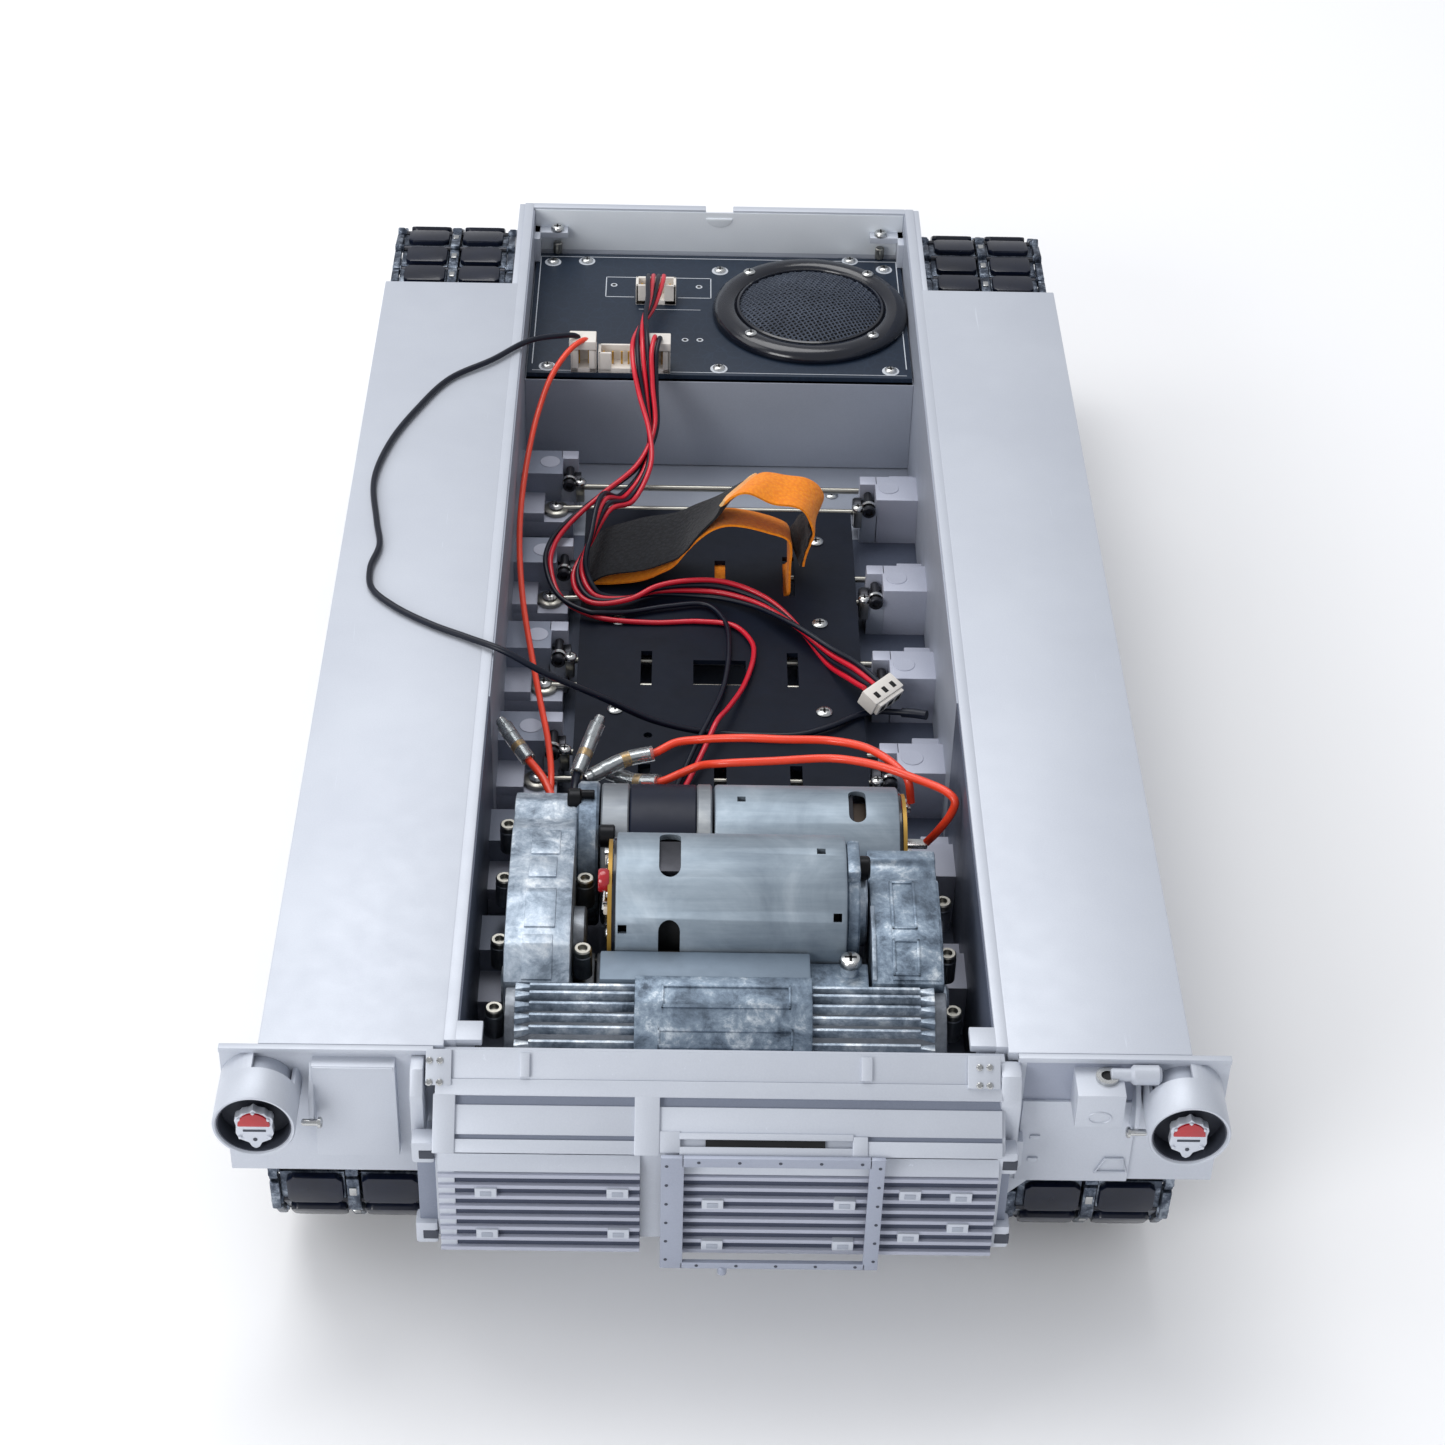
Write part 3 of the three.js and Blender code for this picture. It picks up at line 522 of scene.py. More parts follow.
# ---- cords --------------------------------------------------------------
BLACK_LEAD = [(-43.8, 316.2, 74.8), (-44.5, 315.5, 77.5), (-50, 311.5, 80), (-59, 304, 82.5),
              (-69.5, 292, 82.9), (-81.5, 281.5, 82.6), (-90, 264.5, 82.6), (-96.5, 246, 82.6),
              (-99.5, 226, 82.6), (-97, 205.5, 82.6), (-95.2, 193.5, 82.6), (-96.8, 182.5, 82.6),
              (-95.5, 173, 82.6), (-89, 165, 82.6), (-78.5, 157, 82.6), (-68, 151, 82.7),
              (-59, 146, 82.6), (-47.5, 143.5, 77), (-33, 146.5, 67), (-19.5, 153.5, 54),
              (-9, 157.5, 47.5), (-2, 159, 45.2), (12.5, 158.5, 44.9), (22, 159, 45), (31, 163, 45),
              (38.5, 168.5, 44.6), (43.5, 170.6, 44.5), (49, 170.4, 44.5), (54, 168.8, 45.4)]
ORANGE_LEAD = [(-41.2, 316.2, 74.8), (-42, 314.5, 77), (-46, 309.5, 77), (-51.5, 301, 73),
               (-55.5, 289, 67), (-58, 268.5, 63), (-59, 247.5, 60), (-58.5, 227, 58), (-56.5, 205, 56),
               (-53, 181, 55), (-49.5, 158, 56), (-46.5, 138, 58), (-45, 122, 59), (-45, 112.5, 57),
               (-45, 108.5, 53.5)]
HARNESS = [(-20.5, 358, 75.2), (-20.6, 354.5, 76.4), (-21, 348, 77.4), (-22, 338, 77.2),
           (-24.5, 325, 77), (-25, 314, 77.2), (-24.5, 306, 74), (-23, 297, 66.5), (-21.5, 286, 60),
           (-22.5, 274, 56), (-28, 262, 53.5), (-34, 249.5, 60), (-38, 237, 56), (-41, 227, 50.2),
           (-37, 219, 47.6), (-27.5, 219, 47), (-19, 223.5, 47), (-8.5, 225, 47), (1.5, 224, 47),
           (12, 219, 46.5), (22, 207.5, 46.5), (31.5, 193, 46.5), (37.6, 183, 49),
           (42.4, 174.8, 50.4)]
PAIR = [(-19.5, 316.2, 74.5), (-19.5, 314.5, 78.4), (-20.5, 308, 77), (-20.2, 300, 69),
        (-19.7, 289, 61), (-25, 275, 56.5), (-36, 263, 53.5), (-45, 251.5, 51.5), (-49.5, 241, 51.2),
        (-50.5, 231, 50.4), (-46.5, 219, 47.4), (-37, 212.5, 46), (-20, 211.5, 45),
        (-5.5, 212.5, 45), (4.5, 210.5, 45), (10, 202, 45), (10.5, 194.5, 45), (7.5, 180.5, 45),
        (2.5, 166.5, 47.2), (-0.8, 158.5, 49), (-4, 150.5, 47), (-9, 137.5, 45.3), (-13, 126, 46),
        (-14.5, 116, 48), (-14.5, 110.8, 51)]
# The black wire of the pair leaves the red one at this point of PAIR.
PARTING = 11
PAIR_BLACK = [(-27, 215, 45.2), (-14.5, 218.6, 45), (-4, 219.6, 45), (1.5, 211.6, 45), (2.7, 198.8, 45),
              (1, 180.1, 45), (-3, 164, 46.4), (-6.7, 152.2, 46.4), (-11, 138, 45.6), (-14.6, 126, 46),
              (-16, 116, 48), (-16, 110.8, 51)]
MOTOR_LEAD_A = [(-34.1, 119, 62), (-25.8, 124.6, 63), (-18.2, 126.2, 64), (-12.4, 129.6, 65),
                (-6.1, 129.8, 66), (4.6, 127, 69), (16, 125.4, 70), (28.2, 124.4, 70.6),
                (36.6, 120.3, 72), (41.8, 115.4, 72.6), (45.4, 110.9, 72.4), (47.6, 107.4, 71.6),
                (48.6, 104.9, 66)]
MOTOR_LEAD_B = [(-30, 125.5, 58), (-23.3, 122.1, 58), (-16.6, 119.2, 60), (-11, 120.4, 62),
                (-6.1, 120.6, 64.5), (-0.7, 117.4, 68), (13, 116.8, 69.6), (27.9, 117, 70.6),
                (35, 114.2, 72), (41, 110.9, 73), (48.9, 106.3, 73.2), (57, 99.8, 74), (59, 97.4, 73),
                (58.2, 96.6, 69.5), (55, 96.4, 63.5), (52.6, 97.4, 59)]


LEAD_WIRE, HARNESS_WIRE, PAIR_WIRE, MOTOR_WIRE = 1.8, 1.55, 1.5, 2.2


def cord(name, line, diameter, mat, node):
    data = bpy.data.curves.new(name, "CURVE")
    data.dimensions, data.bevel_depth, data.bevel_resolution = "3D", diameter / 2000, 3
    data.use_fill_caps = True
    spline = data.splines.new("POLY")
    spline.points.add(len(line) - 1)
    for point, p in zip(spline.points, line):
        point.co = (*metres(p), 1)
    spline.use_smooth = True
    data.materials.append(MATERIALS[mat])
    thing = add(name, data)
    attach(thing, "chassis")
    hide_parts(node)


def sideways_of(line, i):
    ahead = (line[min(i + 1, len(line) - 1)] - line[max(i - 1, 0)]).normalized()
    side = ahead.cross(Vector((0, 0, 1)))
    side = side.normalized() if side.length > 0.2 else Vector((1, 0, 0))
    return side, side.cross(ahead)


def strand(line, index, count, spacing, waves):
    """One wire of a bundle: the wires lie side by side and roll over each other as they go."""
    made = []
    for i, p in enumerate(line):
        share = i / (len(line) - 1)
        side, over = sideways_of(line, i)
        turn = waves * 2 * math.pi * share
        across = (index - (count - 1) / 2) * spacing
        lift = across * math.sin(turn)
        made.append(p + side * across * math.cos(turn) + over * lift)
    return made


def wires():
    ends = Piece()
    ends.box(-47, -38.6, 312.8, 319.6, 74.2, 77.2, "nylon", 0.4)
    ends.box(-23.6, -15.4, 312.8, 319.4, 74.2, 77, "nylon", 0.4)
    plug = Matrix.Translation((44.9, 172.2, 49.4)) @ Matrix.Rotation(math.radians(48), 4, "Z") \
        @ Matrix.Rotation(math.radians(20), 4, "X")
    ends.box(-6.1, 6.1, -2.6, 3, -2.6, 2.6, "nylon", 0.5, plug)
    ends.box(-5.2, 5.2, -3.7, -2.4, -2.1, 2.1, "nylon", 0.35, plug)
    # The plug's openings are flat black boxes: painted shade in its sockets.
    for i in range(3):
        x = -3.4 + 3.4 * i
        ends.box(x - 1, x + 1, -3.8, -3.6, -1.2, 1.2, "hole", 0.1, plug)
        ends.box(x - 0.7, x + 0.7, -1.4, 0.6, 2.55, 2.7, "hole", 0.1, plug)
    plugs = ends.make("wire_plugs", "chassis", ("signal_harness",), "wire")
    sleeve = Piece()
    sleeve.tube(smooth_path([(51, 170, 44.7), (54, 168.8, 45.4), (57.6, 167, 46.2)], 12), 1.35,
                "black_wire", 12)
    tip = sleeve.make("lead_tip", "chassis", ("power_leads",), "wire")
    cord("black_lead", smooth_path(BLACK_LEAD, 260), LEAD_WIRE, "black_wire", "power_leads")
    cord("orange_lead", smooth_path(ORANGE_LEAD, 170), LEAD_WIRE, "hot_wire", "power_leads")
    bundle = smooth_path(HARNESS, 220)
    for i, mat in enumerate(("red_wire", "black_wire", "red_wire", "black_wire")):
        cord(f"harness_wire_{i + 1}", strand(bundle, i, 4, 1.65, 2.5), HARNESS_WIRE, mat,
             "signal_harness")
    both = smooth_path(PAIR, 240)
    black = strand(both, 0, 2, 1.6, 1.5)
    leave = min(range(len(black)), key=lambda i: (black[i] - Vector(PAIR[PARTING])).length)
    black = resample(black[:leave + 1] + smooth_path([black[leave], *PAIR_BLACK], 120)[1:], 240)
    cord("pair_wire_1", black, PAIR_WIRE, "black_wire", "signal_harness")
    cord("pair_wire_2", strand(both, 1, 2, 1.6, 1.5), PAIR_WIRE, "red_wire",
         "signal_harness")
    cord("motor_lead_1", smooth_path(MOTOR_LEAD_A, 120), MOTOR_WIRE, "hot_wire", "motor_leads")
    cord("motor_lead_2", smooth_path(MOTOR_LEAD_B, 130), MOTOR_WIRE, "hot_wire", "motor_leads")


wires()


# ---- hull ---------------------------------------------------------------
SIDES = (("left", -1), ("right", 1))
PIVOTS = (324.4, 276.9, 229.4, 187.2, 145, 102.8, 60.6)
# The left side's arms and rollers stand this far ahead of the right side's.
STAGGER = 11.8
ROLLERS = (137.9, 267.2)
PIVOT_Z, WHEEL_Z, REACH = 39.4, 24.1, 14
# The middle of a track, from the middle plane.
TRACK_X = 87.2


def pivots(side):
    return [y + (STAGGER if side < 0 else 0) for y in PIVOTS]


def pair(side, a, b):
    """Two distances from the middle plane as X values in rising order."""
    return (a, b) if side > 0 else (-b, -a)


def arc(cy, cz, radius, start, stop, count):
    """Points of an arc between two angles in degrees."""
    turns = [math.radians(start + (stop - start) * i / count) for i in range(count + 1)]
    return [(cy + radius * math.cos(t), cz + radius * math.sin(t)) for t in turns]


def hull():
    p = Piece()
    wall = [(0, 36), (9, 30), (366, 30), (394, 46), (394, 81.5), (0, 81.5)]
    for _, s in SIDES:
        p.prism(wall, *pair(s, 61.3, 64.3), "x", "paint", 0.5)
        # Thin linings on the inner walls in darker copies of the paint: painted shade, darkest towards the
        # rear.
        p.prism([(3, 38), (10, 33), (128, 33), (128, 80.9), (3, 80.9)], *pair(s, 60.9, 61.4), "x",
                "paint_deep", 0.05)
        p.prism([(127.9, 33), (365, 33), (390, 47), (390, 80.9), (127.9, 80.9)], *pair(s, 60.9, 61.4),
                "x", "paint_in", 0.05)
        p.box(*pair(s, 64, 106), -1.8, 341, 78.9, 81.5, "paint", 0.5)
        p.box(*pair(s, 103.8, 105.85), 0.2, 340.8, 73.5, 80.6, "paint", 0.4)
        p.box(*pair(s, 64.2, 105.7), 338.8, 340.85, 73.5, 80.6, "paint", 0.4)
        p.box(*pair(s, 64.2, 105.8), 0, 2.2, 66, 81.2, "paint", 0.4)
        p.box(*pair(s, 55.5, 62), 0.2, 6.5, 79.5, 81.4, "paint", 0.3)
        # A darker post in the rear corner of the wall: painted shade.
        p.box(*pair(s, 57.6, 61.6), 0.4, 5.6, 40, 80, "paint_in", 0.4)
        p.box(*pair(s, 64.2, 66), 341, 393.6, 78.4, 81.2, "paint", 0.3)
        bracket = [*arc(390, 46.3, 6.6, -90, 90, 10), (374, 50.5), (372, 39.5)]
        p.prism(bracket, *pair(s, 64, 69), "x", "paint", 0.5)
        p.rod("x", (390, 46.3), *pair(s, 66, 101), 3, "screw")
        for y in (137.9, 267.2):
            y += STAGGER if s < 0 else 0
            z = roller_z(y)
            p.rod("x", (y, z), *pair(s, 64, 103), 2, "screw", 14)
            p.rod("x", (y, z), *pair(s, 64, 67), 5, "paint", 18)
        for y in pivots(s):
            p.rod("x", (y, PIVOT_Z), *pair(s, 64, 65), 6.2, "paint", 24)
        suspension_blocks(p, s)
    # The tub's floor is drawn in darker copies of the paint: painted shade, darkest over the middle and rear.
    p.box(-61.3, 61.3, 9, 366, 30, 32.2, "paint_in", 0.2)
    p.box(-61.3, 61.3, 9, 272, 32, 32.6, "paint_deep", 0.1)
    p.box(-61.3, 61.3, 272, 366, 32, 32.6, "paint_in", 0.1)
    p.prism([(365.4, 30), (394, 46), (391, 47.8), (364.8, 32.6)], -61.4, 61.4, "x", "paint_in", 0.2)
    p.prism([(0, 36), (9.4, 30), (10.2, 32.6), (2.5, 37.8)], -61.4, 61.4, "x", "paint_in", 0.2)
    p.box(-61.4, 61.4, 0, 2.5, 36, 70, "paint", 0.3)
    front_wall(p)
    # The tray posts are drawn in the darker inside paint: painted shade.
    for y in (254.6, 212.8, 171):
        for x in (-29.3, 29.3):
            p.rod("z", (x, y), 32.4, 41.6, 3, "paint_in", 18)
    for x, y in ((-36, 288), (36, 296), (0, 284), (-48, 302), (48, 302), (-22, 140), (22, 140)):
        p.screw((x, y, 32.6), (0, 0, 1), 2, 0.9)
    p.make("hull_shell", "chassis", ("hull_tub",), "paint")


def front_wall(p):
    outline = [(-61.4, 46), (61.4, 46), (61.4, 81.4), (4.5, 81.4), (4.5, 79.2), (-4.5, 79.2),
               (-4.5, 81.4), (-61.4, 81.4)]
    p.prism(outline, 391, 394, "y", "paint", 0.25)
    # Painted light: the inner face of the front wall and the notch in its top edge are drawn in a lighter copy
    # of the paint, where the light falls on them.
    p.box(-60.8, 60.8, 390.75, 391.1, 66, 80.6, "pale", 0.05)
    hook = [(4.4 * math.cos(t), 78.6 + 3.2 * math.sin(t)) for t in
            [math.pi * (1 + i / 12) for i in range(13)]]
    p.prism(hook, 390.2, 391.2, "y", "pale", 0.4)
    for s in (-1, 1):
        p.box(*pair(s, 50, 61), 386.5, 391, 72.5, 74.6, "paint", 0.2)
        p.box(*pair(s, 59, 61), 382, 391, 66, 74.6, "paint", 0.2)
        x = s * 53.5
        p.rod("z", (x, 388.4), 66, 70, 1.5, "wire_steel", 12)
        p.screw((x, 388.4, 74.6), (0, 0, 1), 2.2, 1.6)


def suspension_blocks(p, s):
    for y in pivots(s):
        inner = 49.6 if y < 115 else 43.5
        deep = inner < 49
        step = 48.1 if deep else inner
        # The left side's blocks are drawn in a darker copy of the paint: painted shade from the left wall.
        p.box(*pair(s, step, 61.6), y - 6.5, y + 6.5, 32.4, 48.5,
              "paint_block" if s > 0 else "paint_dark", 0.35)
        if deep:
            p.box(*pair(s, inner, 49), y + 2, y + 6.5, 32.4, 48.5, "paint_block", 0.35)
            # The low part of this step is drawn darker: painted shade.
            p.box(*pair(s, inner, 49), y - 6.5, y + 2.4, 32.4, 42.9, "paint_in", 0.3)
            p.turned([(0, -1.8), (4.2, -1.8), (4.6, -1.2), (4.6, 0.6), (0, 0.6)], "x",
                     (s * 43.3, y, PIVOT_Z), "dark_steel", 24)
            p.box(*pair(s, 41.4, 44), y - 7.6, y - 4, 38.6, 44.6, "wire_steel", 0.5)
            p.screw((s * 42.7, y - 5.8, 44.6), (0, 0, 1), 1.9, 1.3, "screw")
            p.rod("y", (s * 46, 44.9), y - 7.2, y + 1.6, 1.3, "dark_steel", 14)
            p.screw((s * 46, y - 7.2, 44.9), (0, -1, 0), 2, 1.4, "dark_steel", "hex")
            p.rod("y", (s * 46, 44.9), y - 6.2, y - 5.2, 2.5, "screw", 18)
            if y < 300:
                p.rod("z", (s * 52.2, y), 48.3, 48.68, 3.1, "paint_block", 28, 0.1)
        # The far end of the opposite torsion bar is held on a low ledge by a screwed eye.
        a = y + s * STAGGER
        p.box(*pair(s, 44.5, 61.6), a - 6, a + 6, 32.4, 38.2, "paint_block", 0.35)
        p.box(*pair(s, 53.5, 61.6), a - 6, a + 6, 38, 41.4, "paint_block", 0.35)
        eye(p, s * 50, a)


def eye(p, x, y):
    """The screwed eye that holds the far end of a torsion bar."""
    ring = [(3.9, 38.2), (3.9, 39.3), (3.5, 39.6), (1.3, 39.6), (1.3, 38.2), (3.9, 38.2)]
    p.turned(ring, "z", (x, y, 0), "wire_steel", 28)
    p.screw((x, y, 39.6), (0, 0, 1), 2.3, 1.4)
    p.rod("x", (y, PIVOT_Z - 0.1), *((x - 1, x + 6) if x < 0 else (x - 6, x + 1)), 1.0, "wire_steel", 12)


# ---- tracks -------------------------------------------------------------
def belt_circles(side):
    axles = [y + REACH for y in pivots(side)]
    return [(22.5, 34.5, 19.4), (min(axles), WHEEL_Z, 19.5), (max(axles), WHEEL_Z, 19.5),
            (390, 46.3, 19.5)]


def run_normal(a, b):
    dy, dz = b[0] - a[0], b[1] - a[1]
    return math.atan2(dz, dy) - math.pi / 2 + math.asin((a[2] - b[2]) / math.hypot(dy, dz))


def roller_z(y):
    first, _, _, last = belt_circles(1)
    turn = run_normal(last, first)
    ny, nz = math.cos(turn), math.sin(turn)
    return (ny * last[0] + nz * last[1] + last[2] - 6.3 - ny * y) / nz


def belt(side, offset):
    circles, points = belt_circles(side), []
    for i, c in enumerate(circles):
        start = run_normal(circles[i - 1], c)
        stop = run_normal(c, circles[(i + 1) % 4])
        while stop < start:
            stop += 2 * math.pi
        steps = max(2, int((stop - start) / 0.05))
        for k in range(steps + 1):
            turn = start + (stop - start) * k / steps
            points.append(Vector((0, c[0] + (c[2] + offset) * math.cos(turn),
                                  c[1] + (c[2] + offset) * math.sin(turn))))
    return [*points, points[0]]


LINKS = 76


def link_shape(p, place):
    """One link: local X across the track, Y along it and Z outwards from the loop."""
    pad = [(-5.0, -3.3), (-3.9, -4.6), (3.9, -4.6), (5.0, -3.3), (5.0, 3.3), (3.9, 4.6),
           (-3.9, 4.6), (-5.0, 3.3)]
    for s in (-1, 1):
        outline = [(s * 8.9 + x * 1.33, y) for x, y in pad]
        p.prism(outline, 2.5, 4.6, "z", "pad", 0.55, place)
        p.box(*pair(s, 1.9, 17.2), -4.9, 4.9, 0.9, 2.7, "link_steel", 0.35, place)
        p.box(*pair(s, 2.6, 16.4), -3.9, 3.9, 0.05, 1.1, "pad", 0.3, place)
        p.box(*pair(s, 17.4, 19.7), -1.9, 8.0, 0.7, 3.9, "link_steel", 0.5, place)
        p.box(*pair(s, 17.6, 19.75), -4.9, -2.4, 0.9, 3.3, "link_steel", 0.4, place)
        p.rod("x", (5.8, 2.0), *pair(s, 16.9, 19.8), 1.5, "link_steel", 10, 0.2, place)
    p.box(-1.55, 1.55, -3.8, 7.6, 0.7, 4.1, "link_steel", 0.5, place)
    p.box(-0.9, 0.9, -0.9, 1.9, 3.9, 4.5, "screw", 0.3, place)
    p.prism([(-3.2, 0.8), (3.2, 0.8), (1.4, -2.9), (-1.4, -2.9)], -1.6, 1.6, "x", "link_steel", 0.4, place)
    p.rod("x", (5.75, 1.9), -17.4, 17.4, 0.95, "dark_steel", 8, 0.1, place)


def tracks():
    for name, s in SIDES:
        line = resample(belt(s, 2.0), LINKS + 1)[:-1]
        p = Piece()
        for i, at in enumerate(line):
            ahead = (line[(i + 1) % LINKS] - line[i - 1]).normalized()
            out = Vector((0, ahead.z, -ahead.y))
            across = ahead.cross(out)
            place = Matrix((across, ahead, out)).transposed().to_4x4()
            place.translation = Vector((s * TRACK_X, at.y, at.z)) - out * 2.0
            link_shape(p, place)
        p.make(f"{name}_track_links", "chassis", (f"{name}_track",), "rubber")


# ---- running gear -------------------------------------------------------
def wheel_mesh(spokes):
    """A double wheel about X through the origin, outer face towards +X."""
    p = Piece()
    for a, b, d in ((3.1, 15.5, 1), (-15.5, -3.1, -1)):
        edge = [(16.6, a), (18.6, a), (19.2, a + 0.8), (19.2, b - 0.8), (18.6, b), (16.6, b), (16.6, a)]
        p.turned(edge, "x", (0, 0, 0), "tyre", 56)
        outer, inner = (b, a) if d > 0 else (a, b)
        disc = [(16.7, outer - 0.2 * d), (15.9, outer - 0.4 * d), (15.2, outer - 1.6 * d),
                (11.2, outer - 4.6 * d), (9.4, outer - 4.2 * d), (7.4, outer - 2.6 * d),
                (3.35, outer - 2.4 * d), (3.35, inner + 0.4 * d), (15.4, inner + 0.4 * d),
                (16.7, inner + 0.2 * d), (16.7, outer - 0.2 * d)]
        p.turned(disc, "x", (0, 0, 0), "paint", 56)
    p.turned([(3.3, -3.4), (7.0, -3.4), (7.0, 3.4), (3.3, 3.4), (3.3, -3.4)], "x", (0, 0, 0), "paint", 32)
    cap = [(0, 15.45), (2.6, 15.45), (3.2, 15.2), (5.4, 14.8), (5.9, 14.2), (5.9, 12.6), (0, 12.6)]
    p.turned(cap, "x", (0, 0, 0), "paint", 32)
    for i in range(10):
        turn = 2 * math.pi * i / 10
        p.screw((12.3, 8.3 * math.cos(turn), 8.3 * math.sin(turn)), (1, 0, 0), 0.8, 0.7, "screw", "hex")
    for i in range(spokes):
        turn = 2 * math.pi * i / spokes
        place = Matrix.Rotation(turn, 4, "X")
        p.box(9.9, 13.6, -0.5, 0.5, 9.5, 15.6, "paint", 0.2, place)
    return p.mesh(f"wheel_{spokes}", [v / 1000 for v in p.verts], 35)


def place_wheel(mesh, name, at, side, node):
    thing = add(name, mesh)
    thing.location = metres(at)
    if side < 0:
        thing.rotation_euler = (0, 0, math.pi)
    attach(thing, node)
    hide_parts(node)


def arm(name, side, y):
    p = Piece()
    dy, dz = REACH, WHEEL_Z - PIVOT_Z
    lean = math.degrees(math.atan2(dz, dy))
    a, b = (y, PIVOT_Z), (y + dy, WHEEL_Z)
    outline = arc(*a, 5.5, lean + 90, lean + 270, 12) + arc(*b, 5.3, lean - 90, lean + 90, 12)
    p.prism(outline, *pair(side, 65.2, 69), "x", "dark_steel", 0.7)
    slim = arc(*a, 3.4, lean + 90, lean + 270, 10) + arc(*b, 3.2, lean - 90, lean + 90, 10)
    p.prism(slim, *pair(side, 68.6, 69.4), "x", "dark_steel", 0.3)
    p.rod("x", a, *pair(side, 44, 68.8), 4, "dark_steel", 24)
    p.rod("x", b, *pair(side, 66, 100.5), 3, "screw", 20)
    p.rod("x", b, *pair(side, 69, 71.3), 4.4, "dark_steel", 20)
    p.rod("x", a, *pair(side, -45.5, 45), 0.95, "wire_steel", 12, 0.1)
    p.screw((side * 69.4, *a), (side, 0, 0), 2.2, 1.2, "screw", "hex")
    p.make(f"{name}_forging", name, (name,), "dark_metal")


def sprocket(name, side):
    p = Piece()
    y, z, teeth = 22.5, 34.5, 11
    rim = []
    for i in range(teeth):
        base = 2 * math.pi * i / teeth
        for turn, radius in ((-0.27, 15.2), (-0.17, 15.9), (-0.11, 18.2), (-0.06, 18.85), (0.06, 18.85),
                             (0.11, 18.2), (0.17, 15.9), (0.27, 15.2)):
            rim.append((y + radius * math.cos(base + turn), z + radius * math.sin(base + turn)))
    for a, b in ((70, 74), (100.4, 104.4)):
        p.prism(rim, *pair(side, a + 0.5, b - 0.5), "x", "dark_steel", 0.3)
        p.turned([(0, side * a), (11.5, side * a), (13.5, side * (a + 0.8)), (13.5, side * (b - 0.8)),
                  (11.5, side * b), (0, side * b)], "x", (0, y, z), "dark_steel", 44)
    p.rod("x", (y, z), *pair(side, 73, 101), 11.6, "paint", 40, 0.8)
    p.rod("x", (y, z), *pair(side, 54.4, 71), 3.2, "screw", 24)
    p.rod("x", (y, z), *pair(side, 104, 106), 5, "paint", 32, 0.8)
    for i in range(8):
        turn = 2 * math.pi * i / 8
        p.screw((side * 104.3, y + 8.8 * math.cos(turn), z + 8.8 * math.sin(turn)), (side, 0, 0),
                1.1, 0.8, "screw", "hex")
    p.make(f"{name}_gear", name, (name,), "dark_metal")


def roller(name, side, y):
    p = Piece()
    z = roller_z(y)
    for a, b in ((74.2, 84), (90.4, 100.2)):
        lo, hi = pair(side, a, b)
        p.turned([(2.3, lo), (5.4, lo), (6, lo + 0.7), (6, hi - 0.7), (5.4, hi), (2.3, hi), (2.3, lo)],
                 "x", (0, y, z), "tyre", 32)
    lo, hi = pair(side, 83.5, 91)
    p.turned([(2.3, lo), (2.8, lo), (2.8, hi), (2.3, hi), (2.3, lo)], "x", (0, y, z), "dark_steel", 24)
    cap = [(0, 99.5), (3.6, 99.5), (3.6, 100.4), (2.9, 101), (0, 101)]
    p.turned([(r, side * x) for r, x in cap], "x", (0, y, z), "paint", 28)
    p.make(f"{name}_tyre", name, (name,), "dark_metal")


def running_gear():
    plain_wheel, spoked = wheel_mesh(0), wheel_mesh(8)
    for name, s in SIDES:
        place_wheel(spoked, f"{name}_idler_wheel", (s * TRACK_X, 390, 46.3), s, f"{name}_idler")
        sprocket(f"{name}_sprocket", s)
        for i, y in enumerate(ROLLERS):
            roller(f"{name}_return_roller_{i + 1}", s, y + (STAGGER if s < 0 else 0))
        for i, y in enumerate(pivots(s)):
            arm(f"{name}_arm_{i + 1}", s, y)
            place_wheel(plain_wheel, f"{name}_road_wheel_{i + 1}", (s * TRACK_X, y + REACH, WHEEL_Z), s,
                        f"{name}_wheel_{i + 1}")


# ---- electronics --------------------------------------------------------
def electronics():
    shelf = Piece()
    # The shelf is drawn in the darker inside paint: painted shade.
    shelf.box(-60.9, 60.9, 311.8, 390.5, 61.7, 64, "paint_in", 0.25)
    shelf.box(-60.9, 60.9, 311.7, 314.2, 33, 64, "paint_in", 0.3)
    shelf.make("front_shelf", "chassis", ("electronics_deck",), "paint")

    b = Piece()
    b.box(-60.4, 60.4, 312.6, 388, 64.4, 66, "board", 0.12)
    for x0, x1, y0, y1 in ((-37, -36.7, 360, 373), (-2.8, -2.5, 360, 373), (-37, -2.5, 372.7, 373),
                           (-37, -27.6, 360, 360.3), (-13.4, -2.5, 360, 360.3), (-59, -58.7, 318, 386),
                           (-58.7, 58.8, 385.7, 386), (-58.7, 58.8, 314.1, 314.3),
                           (58.7, 59, 318, 386), (-26, -6, 352.4, 352.6)):
        b.box(x0, x1, y0, y1, 65.99, 66.03, "print", 0)
    for x, y in ((-54.8, 382), (-43.6, 383), (0.4, 378), (43.6, 386), (54.7, 380.6), (-54, 316.4),
                 (-0.2, 316.6), (53.8, 316.8)):
        b.rod("z", (x, y), 65.9, 66.12, 2.7, "print", 24, 0.05)
        b.screw((x, y, 66.1), (0, 0, 1), 1.9, 1.0)
    # The holes through the board are black discs: painted shade.
    for x, y in ((-34.3, 367.7), (-6.5, 367.3), (-10.9, 333.7), (-6.2, 333.8)):
        b.rod("z", (x, y), 65.9, 66.08, 1.1, "print", 18, 0.04)
        b.rod("z", (x, y), 65.9, 66.1, 0.65, "hole", 14, 0.03)
    header(b, -27, -14, 355.5, 361.5, 73, 4)
    header(b, -46.5, -38.5, 313.2, 319.2, 73.8, 2)
    header(b, -38, -24, 313.2, 319.2, 73, 5)
    header(b, -23.5, -15.5, 313.2, 319.2, 73.8, 2)
    b.make("circuit_board_detail", "chassis", ("circuit_board",), "board")
    loudspeaker()


